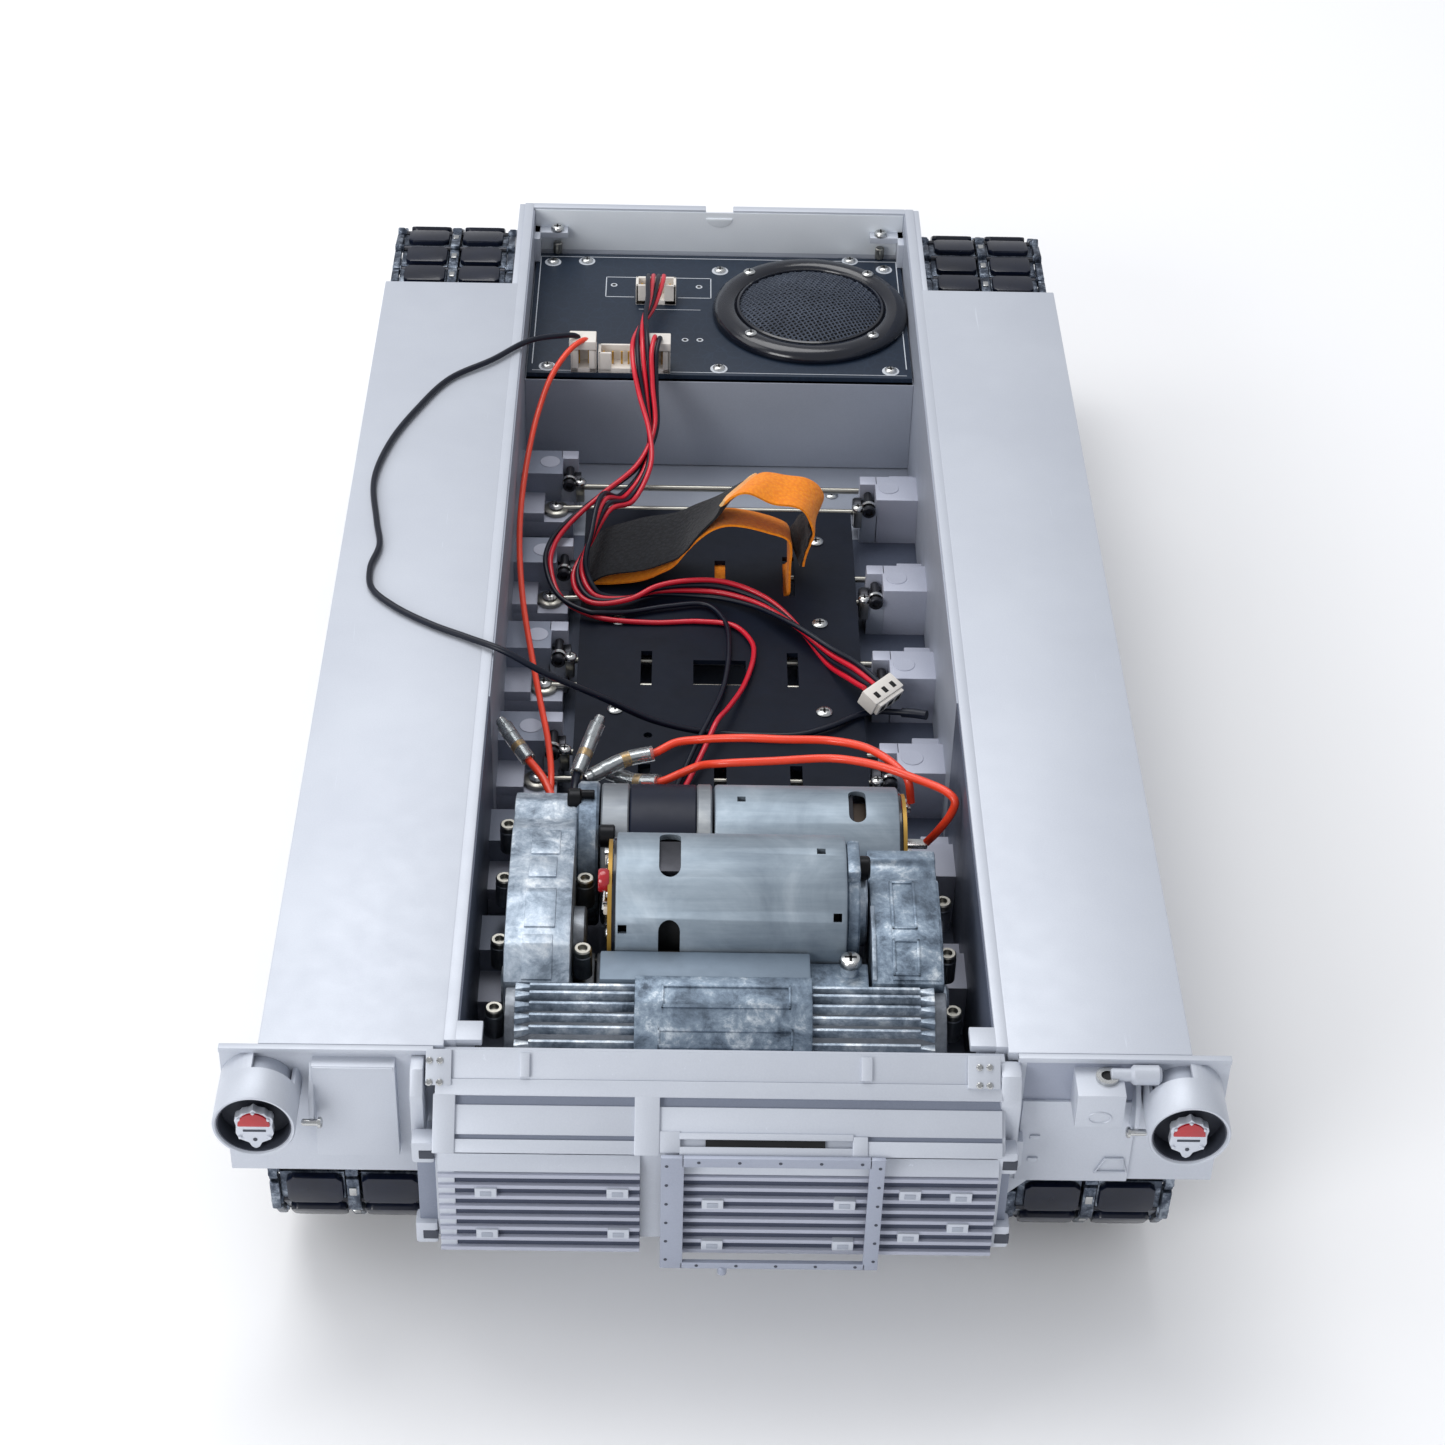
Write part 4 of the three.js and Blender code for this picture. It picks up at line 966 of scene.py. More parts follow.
def header(p, x0, x1, y0, y1, top, pins):
    """A shrouded pin header that opens upwards and to the rear."""
    wall = 0.9
    p.box(x0, x1, y0, y1, 65.8, 67.6, "nylon", 0.2)
    p.box(x0, x1, y1 - wall, y1, 65.9, top, "nylon", 0.2)
    p.box(x0, x0 + wall, y0, y1, 65.9, top, "nylon", 0.2)
    p.box(x1 - wall, x1, y0, y1, 65.9, top, "nylon", 0.2)
    third = (x1 - x0) / 3.4
    p.box(x0, x0 + third, y0, y0 + wall, 65.9, top, "nylon", 0.2)
    p.box(x1 - third, x1, y0, y0 + wall, 65.9, top, "nylon", 0.2)
    for i in range(pins):
        x = x0 + (x1 - x0) * (i + 0.5 + 0.12 * (1 if i < pins / 2 else -1)) / pins
        p.box(x - 0.3, x + 0.3, (y0 + y1) / 2 - 0.3, (y0 + y1) / 2 + 0.3, 67, top - 1, "brass", 0.05)


def loudspeaker():
    p = Piece()
    cx, cy = 29.3, 351.0
    flange = [(22.6, 66.4), (31.3, 66.4), (31.5, 67.2), (30.9, 68.6), (29.6, 69.7), (27.6, 70.1),
              (25.2, 69.9), (24.4, 69.2), (23.9, 68.6), (23.6, 69.4), (22.9, 69.6), (22.6, 69.0),
              (22.6, 66.4)]
    p.turned(flange, "z", (cx, cy, 0), "black_plastic", 72)
    # Under the grille sits the speaker's black cone, dark in its own colour and with painted shade under the
    # mesh.
    p.turned([(0, 66.5), (22.9, 66.5), (22.9, 67.5), (15, 69.4), (6, 70.3), (0, 70.4)], "z", (cx, cy, 0),
             "hole", 48)
    for i in range(4):
        turn = math.radians(45 + 90 * i)
        p.screw((cx + 27.4 * math.cos(turn), cy + 27.4 * math.sin(turn), 70.0), (0, 0, 1), 1.9, 0.9)
    pitch, reach = 1.35, 22.6
    for k in range(-16, 17):
        off = k * pitch
        half = math.sqrt(max(0, reach * reach - off * off))
        if half < 3:
            continue
        for turned in (False, True):
            line = []
            for i in range(27):
                along = -half + 2 * half * i / 26
                height = 72.7 - 4.0 * (off * off + along * along) / (reach * reach)
                height += 0.16 * math.cos(math.pi * (along / pitch + (k if turned else k + 1)))
                u, v = (along, off) if turned else (off, along)
                cos, sin = math.cos(0.5), math.sin(0.5)
                line.append((cx + u * cos - v * sin, cy + u * sin + v * cos, height))
            p.tube(line, 0.27, "mesh_wire", 5)
    p.make("speaker_grille", "chassis", ("speaker",), "black_plastic")


def tray():
    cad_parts["battery_tray"].data.materials.clear()
    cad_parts["battery_tray"].data.materials.append(MATERIALS["tray"])
    p = Piece()
    for x, y in [(x, y) for x in (-29.3, 29.3) for y in (254.6, 212.8, 171)]:
        p.screw((x, y, 43.5), (0, 0, 1), 2.3, 0.9)
    p.make("tray_screws", "chassis", (), "black_plastic")


# ---- gearbox ------------------------------------------------------------
def cover_bolt(p, x, y, z, mat="wire_steel"):
    # The post under each bolt head is in the darkest zinc: painted shadow under the head.
    p.rod("z", (x, y), z - 7, z, 2.3, "zinc_dark", 20, 0.3)
    p.screw((x, y, z), (0, 0, 1), 2.2, 1.7, mat, "hex")


LEFT_CASE = [(28.5, 49.2), (103.8, 49.2), (106.6, 54), (104.4, 66), (96.6, 74.6), (91, 77), (83.6, 76.6),
             (78, 78.8), (52, 80.1), (36, 78.1), (28.5, 72.8)]
RIGHT_CASE = [(28.5, 49.2), (71.8, 49.2), (71.8, 66), (75.6, 72), (74, 75.5), (72.5, 77.6), (69, 77.6),
              (68, 76.4), (61, 76.6), (59.7, 79.4), (40, 78.6), (28.5, 73.8)]
COVER = [(28, 71.8), (25, 71.7), (22.6, 71.1), (20, 69.9), (17.8, 68.3), (15.4, 66), (13, 63), (11, 60),
         (8.6, 56), (6, 50), (6, 37.2), (11.6, 33.4), (28, 33.4)]
COVER_PLATE = [(9, 62.8), (12.2, 67.2), (16, 71.2), (20.5, 74.4), (25.4, 76), (28.1, 76)]
FINS = [(26.4, 74.4), (24.2, 74), (21.7, 73), (19.4, 71.4), (17.2, 69.6), (14.8, 67.2), (12.9, 64.5)]


# The points of a case's profile above this height belong to its upper side.
UPPER_SIDE = 65


def top_height(profile, y):
    """Height of the upper side of a case at y."""
    upper = sorted(q for q in profile if q[1] > UPPER_SIDE)
    for (ya, za), (yb, zb) in zip(upper, upper[1:]):
        if ya <= y <= yb:
            return za + (zb - za) * (y - ya) / max(yb - ya, 1e-6)
    return upper[-1][1] if y > upper[-1][0] else upper[0][1]


def raised_pad(p, profile, x0, x1, y0, y1, rise, mat, bevel=0.22):
    """A slightly raised area that follows the top of a case."""
    ys = [y0, *sorted(q[0] for q in profile if q[1] > UPPER_SIDE and y0 < q[0] < y1), y1]
    top = [(y, top_height(profile, y) + rise) for y in ys]
    p.prism([*top, *[(y, z - rise - 1.2) for y, z in reversed(top)]], x0, x1, "x", mat, bevel)


def raised_outline(p, profile, x0, x1, y0, y1, rise, mat, width=0.7):
    """A thin raised rectangle on the top of a case."""
    for a0, a1, b0, b1 in ((x0, x1, y0, y0 + width), (x0, x1, y1 - width, y1), (x0, x0 + width, y0, y1),
                           (x1 - width, x1, y0, y1)):
        raised_pad(p, profile, a0, a1, b0, b1, rise, mat, 0.15)


def gearbox():
    left = Piece()
    left.prism(LEFT_CASE, -52.6, -36.7, "x", "zinc", 0.9)
    for x0, x1, y0, y1 in ((-47.5, -40.4, 67.1, 76.6), (-47.7, -40.9, 58.1, 65.9), (-48, -40.6, 41.2, 53.6),
                           (-48.2, -41, 28.9, 38.8)):
        raised_pad(left, LEFT_CASE, x0, x1, y0, y1, 0.45, "zinc")
    left.rod("x", (91, 59.3), -37, -31.4, 18.4, "zinc_mid", 56, 0.7)
    # The boss and the base beside the cover are in the darkest zinc: painted shade.
    left.rod("x", (52, 64), -37, -33.5, 9, "zinc_dark", 36, 0.5)
    left.box(-37, -31.6, 28.6, 60, 49.2, 53.6, "zinc_dark", 0.4)
    for y in (41, 66, 88):
        left.rod("x", (y, 60), -53.6, -52, 5.2, "zinc", 28, 0.6)
    for y in (98.2, 77.5, 54.6, 30.5):
        cover_bolt(left, -54.9, y, 61)
    cover_bolt(left, -34.4, 72, 66)
    cover_bolt(left, -34, 40.3, 71.5)
    left.rod("x", (91.5, 76.4), -39.4, -35.8, 3.1, "black_screw", 24, 0.5)
    left.rod("x", (91.5, 78.4), -36, -32.6, 1.2, "black_screw", 16, 0.2)
    left.make("gearbox_left_casting", "chassis", ("gearbox_left_case",), "casting")

    right = Piece()
    # The right case is drawn in a darker copy of the zinc: painted shade, as it lies away from the light.
    right.prism(RIGHT_CASE, 35, 52, "x", "zinc_mid", 0.9)
    raised_pad(right, RIGHT_CASE, 39.7, 51.3, 29.2, 59, 0.35, "zinc_mid")
    raised_outline(right, RIGHT_CASE, 39.9, 46, 42, 58.3, 0.75, "zinc_mid")
    raised_outline(right, RIGHT_CASE, 39.8, 46.3, 30.1, 38.9, 0.75, "zinc_mid")
    raised_pad(right, RIGHT_CASE, 34.9, 35.9, 29, 49.7, 0.6, "zinc", 0.2)
    for y in (36, 60):
        right.rod("x", (y, 60), 51.5, 54, 5, "zinc", 28, 0.6)
    for y in (70.7, 51.6, 31.2):
        cover_bolt(right, 54.9, y, 61)
    right.rod("x", (58.4, 84), 31.6, 35, 2.9, "black_screw", 24, 0.5)
    right.make("gearbox_right_casting", "chassis", ("gearbox_right_case",), "casting")

    mid = Piece()
    # The cover is drawn in the darkest zinc, its plate in a darker zinc and the fins in the light zinc:
    # painted shade between the fins and painted light on their edges.
    mid.prism(COVER, -51.8, 52.3, "x", "zinc_dark", 0.5)
    mid.prism([(28.1, 55), (6.1, 55), (6.1, 58.5), *COVER_PLATE], -21.3, 20.5, "x", "zinc_mid", 0.5)
    raised_outline(mid, COVER_PLATE, -15, 15.4, 19.4, 24.9, 0.45, "zinc_mid", 0.6)
    raised_outline(mid, COVER_PLATE, -15.8, 16, 12.3, 15.6, 0.45, "zinc_mid", 0.6)
    for y, z in FINS:
        for s in (-1, 1):
            mid.prism([(y - 0.5, z - 4.4), (y + 0.5, z - 4), (y + 0.42, z), (y - 0.42, z - 0.1)],
                      *pair(s, 20.3, 46), "x", "zinc", 0.25)
            wedge = [(s * 45.6, y - 0.5), (s * 49.4, y - 1.2), (s * 49.4, y + 1.2), (s * 45.6, y + 0.5)]
            mid.prism(wedge[::s], z - 3.2, z - 0.7, "z", "zinc", 0.3)
    mid.box(-29.7, 20.3, 27.6, 37.6, 52, 75, "bar", 0.6)
    # The low shelf is in a darker copy of the zinc, and the base under it in the darkest: painted shade.
    mid.box(19.8, 34.3, 27.4, 37.9, 50, 71.5, "zinc_mid", 0.6)
    mid.box(-31.2, 34.2, 27.4, 60, 41.8, 53.6, "zinc_dark", 0.5)
    mid.rod("z", (29.8, 34.9), 60, 74.4, 2.2, "zinc", 20)
    mid.screw((29.8, 34.9, 74.4), (0, 0, 1), 2.8, 2.0)
    mid.make("gearbox_cover_casting", "chassis", ("gearbox_centre_case",), "casting")


def carve(thing, cutter):
    """Cuts one piece's holes out of another and throws the cutter away."""
    cut = thing.modifiers.new("holes", "BOOLEAN")
    cut.operation, cut.solver, cut.object = "DIFFERENCE", "EXACT", cutter
    graph = bpy.context.evaluated_depsgraph_get()
    mesh = bpy.data.meshes.new_from_object(thing.evaluated_get(graph))
    thing.modifiers.clear()
    thing.data = mesh
    thing.data.shade_smooth()
    thing.data.set_sharp_from_angle(angle=math.radians(38))
    bpy.data.objects.remove(cutter)


def slot_cutter(p, y, z, x, width, start, stop):
    """An oblong hole round a motor can: start and stop are degrees above the rear horizon."""
    half = width / 2
    span = math.radians(stop - start) * 18 / 2 - half
    outline = arc(0, span, half, 0, 180, 10)
    outline += [(-a, -b) for a, b in outline]
    lift = math.radians((start + stop) / 2)
    place = Matrix.Translation((x, y, z)) @ Matrix.Rotation(math.pi / 2 - lift, 4, "X") \
        @ Matrix.Translation((0, 0, 12))
    p.prism(outline, 0, 9, "z", "can", 0, place)


def motor(name, node, axis, x0, x1, slots, squares, brush_side, plate):
    y, z = axis
    shell = Piece()
    profile = [(17.1, x0), (17.8, x0 + 0.15), (18, x0 + 0.5), (18, x1 - 0.9), (17.7, x1 - 0.25), (17, x1),
               (9, x1), (9, x1 - 1.1), (16.6, x1 - 1.1), (16.6, x0), (17.1, x0)]
    if brush_side > 0:
        profile = [(r, x0 + x1 - t) for r, t in profile]
    shell.turned(profile, "x", (0, y, z), "can", 96)
    cutter = Piece()
    for x, width, start, stop in slots:
        slot_cutter(cutter, y, z, x, width, start, stop)
    for x, lift in squares:
        place = Matrix.Translation((x, y, z)) @ Matrix.Rotation(math.pi / 2 - math.radians(lift), 4, "X")
        cutter.box(-1.05, 1.05, -1.05, 1.05, 14, 20, "can", 0, place)
    body = shell.make(f"{name}_can", "chassis", (node,), "motor_can")
    carve(body, cutter.make(f"{name}_cutter", "chassis"))

    p = Piece()
    inner = (x0 + 1.5, x1 - 1.5)
    # A black filler inside the can and darkened windings: painted shade inside the motor.
    p.rod("x", (y, z), *inner, 13.2, "hole", 36)
    for i in range(3):
        turn = Matrix.Translation((0, y, z)) @ Matrix.Rotation(2.1 * i, 4, "X")
        p.box(inner[0] + 6, inner[1] - 6, -4.2, 4.2, 9, 14.6, "copper", 0.8, turn)
        p.box(inner[0] + 4, inner[1] - 10, -5.5, 5.5, 13.6, 16.3, "dark_steel", 0.4, turn)
    end = x0 if brush_side < 0 else x1
    d = brush_side
    p.rod("x", (y, z), *sorted((end - d * 0.6, end + d * 0.9)), 16.8, "black_plastic", 48)
    p.turned([(9.5, end + d * 0.9), (16.3, end + d * 0.9), (16.3, end + d * 1.9), (9.5, end + d * 1.9),
              (9.5, end + d * 0.9)], "x", (0, y, z), "brass_ring", 56)
    p.rod("x", (y, z), *sorted((end, end + d * 2.9)), 4.6, "screw", 28)
    for lift in (12, 95, 168, 230, 310):
        t = math.radians(lift)
        at = (end + d * 1.6, y - 13.2 * math.cos(t), z + 13.2 * math.sin(t))
        p.screw(at, (d, 0, 0), 1.3, 0.9, "screw")
    for lift in (40, 140):
        t = math.radians(lift)
        place = Matrix.Translation((0, y - 11.8 * math.cos(t), z + 11.8 * math.sin(t)))
        p.box(*sorted((end + d * 1.5, end + d * 2.9)), -1.5, 1.5, -1.1, 1.1, "nylon", 0.3, place)
        p.box(*sorted((end + d * 1.5, end + d * 3.1)), -0.9, 0.9, 1.6, 2.5, "screw", 0.15, place)
    # The mounting plate is drawn in a darker copy of the zinc: painted shade.
    if plate:
        a, b = plate
        p.rod("x", (y, z), a, b, 15, "zinc_mid", 48, 0.5)
        p.box(a, b, y - 6, y + 6, z + 10, z + 17.2, "zinc_mid", 0.9)
        p.rod("x", (y, z + 12.6), b - 0.6, b + 0.2, 2.4, "black_screw", 20)
    return p


def motors():
    y, z = 56.2, 72.5
    p = motor("drive_motor", "drive_motor", (y, z), -26.3, 29.1,
              [(-13.4, 5.2, 66, 118), (-13.4, 5.2, -22, 30.7), (-13.4, 5.2, 176, 228)],
              [(22.9, 92), (26.7, 35), (-24.6, 24), (22.9, 200)], -1, (29.1, 32.3))
    p.turned([(0, -1.4), (2.6, -1.3), (2.9, -0.8), (2.9, 0.8), (2.6, 1.3), (0, 1.4)], "x",
             (-29.2, y - 5.6, z + 13.2), "red_lens", 20)
    p.tube([(-28.9, y - 3, z + 12), (-29.2, y - 1, z + 9), (-28.5, y, z + 6)], 0.4, "screw", 6)
    p.tube([(-28.9, y - 8, z + 12), (-29.3, y - 10, z + 8), (-28.5, y - 9, z + 5)], 0.4, "screw", 6)
    p.rod("x", (y + 23.3, 75), -31.2, -27.2, 2.9, "black_screw", 22, 0.4)
    p.rod("x", (y, z), 32, 34.4, 9, "zinc", 36, 0.4)
    p.make("drive_motor_ends", "chassis", ("drive_motor",), "motor_can")

    y, z = 91, 59.3
    p = motor("steering_motor", "steering_motor", (y, z), -2.4, 44.2,
              [(33.6, 4.4, 70, 108), (33.6, 4.4, -20, 15), (33.6, 4.4, 175, 215)],
              [(4.4, 93), (4.4, 200)], 1, None)
    for lo, hi, r, mat in ((-30.9, -23.9, 18, "can_ring"), (-23.7, -6.9, 17.9, "can_black"),
                           (-6.8, -3.0, 18, "can_ring")):
        p.turned([(0, lo), (r - 0.4, lo), (r, lo + 0.4), (r, hi - 0.4), (r - 0.4, hi), (0, hi)], "x",
                 (0, y, z), mat, 80)
    for lift in (30, 100, 170, 250, 320):
        t = math.radians(lift)
        p.screw((45.9, y - 10 * math.cos(t), z + 10 * math.sin(t)), (1, 0, 0), 1.2, 1.0, "screw")
    p.box(44.8, 48.4, 102.4, 106.4, 64.4, 66.2, "screw", 0.3)
    p.box(45.2, 52.8, 95.6, 98.2, 58.2, 59.6, "screw", 0.3)
    p.make("steering_motor_ends", "chassis", ("steering_motor",), "motor_can")


# ---- rear ---------------------------------------------------------------
SLOPE_RUN, SLOPE_FALL = 16.5, 15.5
SLOPE_OUT = Vector((0, -SLOPE_FALL, SLOPE_RUN)).normalized()


def on_slope(t):
    """Y and Z of a point on the sloping rear panel, t from its top edge to its foot."""
    return -3 - SLOPE_RUN * t, 81.5 - SLOPE_FALL * t


def slope_block(p, x0, x1, t0, t1, rise, mat="paint", bevel=0.25):
    """A raised area on the sloping panel."""
    (ya, za), (yb, zb) = on_slope(t0), on_slope(t1)
    up, down = SLOPE_OUT * rise, SLOPE_OUT * -1.2
    outline = [(ya + down.y, za + down.z), (ya + up.y, za + up.z), (yb + up.y, zb + up.z),
               (yb + down.y, zb + down.z)]
    p.prism(outline, x0, x1, "x", mat, bevel)


def rear_housing():
    p = Piece()
    outer = [(-0.5, 32.6), (-0.5, 79.9), (-3.2, 79.9), (-18.6, 65.4), (-18.6, 64.9), (-16.3, 64.8),
             (-16.3, 34.6), (-14.3, 32.6)]
    p.prism(outer, -65.8, 63.3, "x", "paint", 0.4)
    for x0, x1, t0, t1, rise in (
            (-62, 54.5, 0, 0.29, 0.35), (-46.6, -44.4, 0.03, 0.27, 1.3), (30.5, 33, 0.03, 0.27, 1.3),
            (-65.6, 62.5, 0.29, 0.455, 0.75), (-67.8, -62, 0, 0.36, 1.3), (54.5, 62, 0, 0.33, 1.3),
            (-61.2, -20.4, 0.545, 0.84, 0), (-15.1, 62.5, 0.545, 0.82, 0), (-61.2, -20.4, 0.885, 1.02, 0.3),
            (32, 62.5, 0.865, 1.02, 0.3), (-66, -61, 0.44, 1.03, 0.75), (-20.6, -14.9, 0.44, 1.03, 0.75),
            (-15, -10.2, 0.785, 1, 0.5), (28.6, 32.1, 0.82, 1.02, 0.75), (-10.4, 28.8, 0.935, 1.02, 0.5),
            (-10.4, 28.8, 0.8, 0.865, 0.9)):
        slope_block(p, x0, x1, t0, t1, rise)
    # The slot under the panel's foot is a black strip: painted shade.
    slope_block(p, -4.5, 22.5, 0.855, 0.94, -0.2, "hole", 0)
    for x, u in ((-67, 0.117), (-64.6, 0.333), (-67, 0.333), (-64.6, 0.117), (57.2, 0.12), (59.5, 0.3),
                 (57.2, 0.3), (59.5, 0.12)):
        y, z = on_slope(u)
        n = SLOPE_OUT * 1.25
        p.screw((x, y + n.y, z + n.z), n, 0.8, 0.6, "screw", "hex")
    for x0, x1, tops in ((-71, -65.8, ((59, 65.6), (32.4, 39.1))),
                         (61.6, 66.5, ((57.5, 64.3), (32.9, 40)))):
        for z0, z1 in tops:
            p.box(x0, x1, -17, -12.2, z0, z1, "paint", 0.8)
            middle = (x0 + x1) / 2 + 0.8
            # A dark inset and a dark band on each hinge block: painted shade in its socket and gap.
            p.box(middle - 1.7, middle + 1.7, -17.15, -16.6, z0 + 1.6, z1 - 2.4, "lamp_dark", 0.15)
            p.box(x0 - 0.1, x1 + 0.1, -15.6, -14, z0 + 1.4, z1 - 2.6, "lamp_dark", 0.15)
    # Darker plates beside the grilles: painted shade in their recesses.
    p.box(-70, -65.6, -15.5, -13.5, 38, 60, "paint_dark", 0.3)
    p.box(63, 65.4, -14.8, -13.4, 39, 58, "paint_dark", 0.3)
    # Darker strips in the grooves of the sloping panel: painted shade.
    for x0, x1, t0, t1 in ((-61.2, -20.4, 0.45, 0.55), (-15.1, 62.5, 0.45, 0.55),
                           (-61.2, -20.4, 0.83, 0.89), (32, 62.5, 0.81, 0.87)):
        slope_block(p, x0, x1, t0, t1, -0.9, "paint_dark", 0)
    p.make("rear_housing_shell", "chassis", ("rear_housing",), "paint")


def slats(name, node, x0, x1, tabs, bar):
    """A grille of eight slats with small tabs and, where bar isn't zero, an upright at its left end."""
    p = Piece()
    # The dark backing behind the slats is painted shade.
    p.box(x0, x1, -18.3, -16.8, 32.6, 58.2, "grille_back", 0.1)
    p.prism([(-16.9, 62.4), (-18.7, 58.3), (-17.6, 58.1), (-16.9, 58.1)], x0, x1, "x", "paint", 0.15)
    for i in range(8):
        z = 32.5 + 3.46 * i
        p.prism([(-18.1, z + 0.1), (-19.2, z), (-19.2, z + 1.2), (-18.1, z + 1.3)], x0, x1, "x",
                "paint_block", 0.2)
    if bar:
        p.box(x0, x0 + bar, -18.6, -17, 32.5, 58.2, "paint", 0.2)
    for x, z in tabs:
        p.box(x - 2.5, x + 2.5, -19.8, -17.3, z - 1.5, z + 1.5, "paint", 0.3)
        # The small inset in each tab is darker: painted shade.
        p.box(x - 1.3, x + 1.3, -19.95, -19.6, z - 0.9, z + 0.6, "paint_in", 0.1)
    p.make(f"{name}_slats", "chassis", (node,), "paint")


def rear_details():
    slats("left_grille", "left_grille", -65.1, -19.2,
          [(-54.3, 52.4), (-24.3, 52.6), (-54.3, 38.7), (-24.1, 39.1)], 3.8)
    slats("right_grille", "right_grille", -13.7, 62.3,
          [(-2.6, 49.4), (27.6, 49.6), (-2.5, 35.7), (27.8, 35.9), (42.4, 53), (54.1, 52.5), (54, 42.3),
           (42.8, 38.9)], 0)
    f = Piece()
    # The frame's bars and the knob below it are drawn in a darker copy of the paint: painted shade.
    for x0, x1, z0, z1 in ((-14.5, -9.3, 30.5, 67.1), (32.5, 36, 30.5, 67.1), (-9.8, 33, 30.5, 32.5),
                           (-9.8, 33, 64.3, 67.1)):
        f.box(x0, x1, -22.2, -21.1, z0, z1, "paint_mid", 0.15)
    for i in range(6):
        z = 33.5 + 6.2 * i
        for x in (-13.2, 34.9):
            f.rod("y", (x, z), -22.28, -22, 0.42, "lamp_dark", 12, 0.03)
    for i in range(5):
        for z in (31.5, 65.8):
            f.rod("y", (-6 + 9.2 * i, z), -22.28, -22, 0.42, "lamp_dark", 12, 0.03)
    f.rod("z", (0, -21.6), 28.4, 30.8, 1.1, "paint_mid", 18, 0.3)
    for x in (-12.2, 34.6):
        for z in (36, 61):
            f.rod("y", (x, z), -21.2, -18.4, 1.1, "paint", 14)
    f.make("exhaust_frame_bars", "chassis", ("exhaust_frame",), "paint")
    for name, s in SIDES:
        fender(name, s)
        lamp(name, s)


def wire_loop(p, points, radius, mat="paint"):
    """A thin closed moulding through the points."""
    p.tube([*points, points[0], points[1]], radius, mat, 6)


def fender(name, s):
    p = Piece()
    p.box(*pair(s, 66.3, 114.8), -2.9, -1.9, 41.6, 81.3, "paint", 0.2)
    p.box(*pair(s, 66.3, 114.8), -3.6, -1.9, 80, 81.5, "paint", 0.25)
    foot, x0, x1 = (59.7, 68.3, 71.4) if s < 0 else (57.2, 62, 67)
    lug = [(-2.4, foot), (-8.8, foot), (-11.3, foot + 3), (-11.3, 74), (-7.8, 79.8), (-2.4, 79.8)]
    p.prism(lug, *pair(s, x0, x1), "x", "paint", 0.7 if s < 0 else 1.2)
    p.prism([(-2.4, 44), (-7, 50), (-7, 58), (-2.4, 58)], *pair(s, 67.2, 69), "x", "paint", 0.3)
    if s < 0:
        p.box(-93.8, -74.9, -6.2, -2.8, 50, 78.7, "paint", 0.25)
        p.box(-93.4, -75.3, -6.5, -6, 77.9, 78.5, "paint", 0.15)
    else:
        p.box(79.1, 90.1, -12.4, -2.8, 68.5, 78.5, "paint", 0.3)
        ring = [(2.6 * math.cos(t), 1.7 * math.sin(t)) for t in [math.pi * i / 9 for i in range(18)]]
        wire_loop(p, [(84.6 + a, -12.4, 71.6 + b) for a, b in ring], 0.28)
        p.box(68.3, 94.8, -3.7, -2.8, 41.6, 67.8, "paint", 0.25)
        # Painted shade: a darker sheet over the upper plate, where the rear housing shades it.
        p.box(68.3, 96, -3, -2.8, 67.6, 79.9, "paint_mid", 0.05)
        p.box(70.8, 73.2, -4.2, -3.6, 48.2, 49.6, "paint", 0.25)
        p.box(70.8, 73.2, -4.2, -3.6, 55.6, 57, "paint", 0.25)
        wire_loop(p, [(86.9, -4, 45), (94.3, -4, 45), (93.1, -4, 49.5), (89, -4, 49.5)], 0.4)
        p.rod("x", (-6.2, 79.2), 87, 93, 1.5, "paint", 20)
        p.rod("x", (-6.2, 79.2), 91.5, 98.5, 2.3, "paint", 26, 0.7)
        p.turned([(1.5, -0.5), (2.7, -0.5), (2.7, 0.5), (1.5, 0.5), (1.5, -0.5)], "z", (86.3, -6.6, 78.9),
                 "screw", 24)
        # A black disc in the ring's hole: painted shade.
        p.rod("z", (86.3, -6.6), 78.2, 78.8, 1.6, "hole", 18, 0.1)
        p.prism([(67, 41.8), (72.4, 41.8), (67, 36)], -3, -2, "y", "paint", 0.2)
    # Bracket, stay and bolt beside the lamp.
    p.prism([(-2.6, 60), (-8.4, 63), (-10, 66), (-8.4, 71), (-2.6, 77)], *pair(s, 93.4, 94.6), "x",
            "paint", 0.3)
    p.rod("x", (-9.6, 64.2), *pair(s, 91.6, 96.4), 0.8, "screw", 14)
    p.screw((s * 92.6, -9.6, 64.2), (-s, 0, 0), 1.3, 0.9, "screw", "hex")
    p.make(f"{name}_fender_plate", "chassis", (f"{name}_fender",), "paint")


SHIELD = [(-4.4, 2.6), (-4.1, 3.7), (-3.2, 4), (-2.6, 4.9), (-1, 5.2), (0, 6.2), (1, 5.2), (2.6, 4.9),
          (3.2, 4), (4.1, 3.7), (4.4, 2.6), (4.1, 1), (4.3, -1.4), (3.6, -3.2), (1.5, -4.3), (0.9, -5.6),
          (0, -6.2), (-0.9, -5.6), (-1.5, -4.3), (-3.6, -3.2), (-4.3, -1.4), (-4.1, 1)]


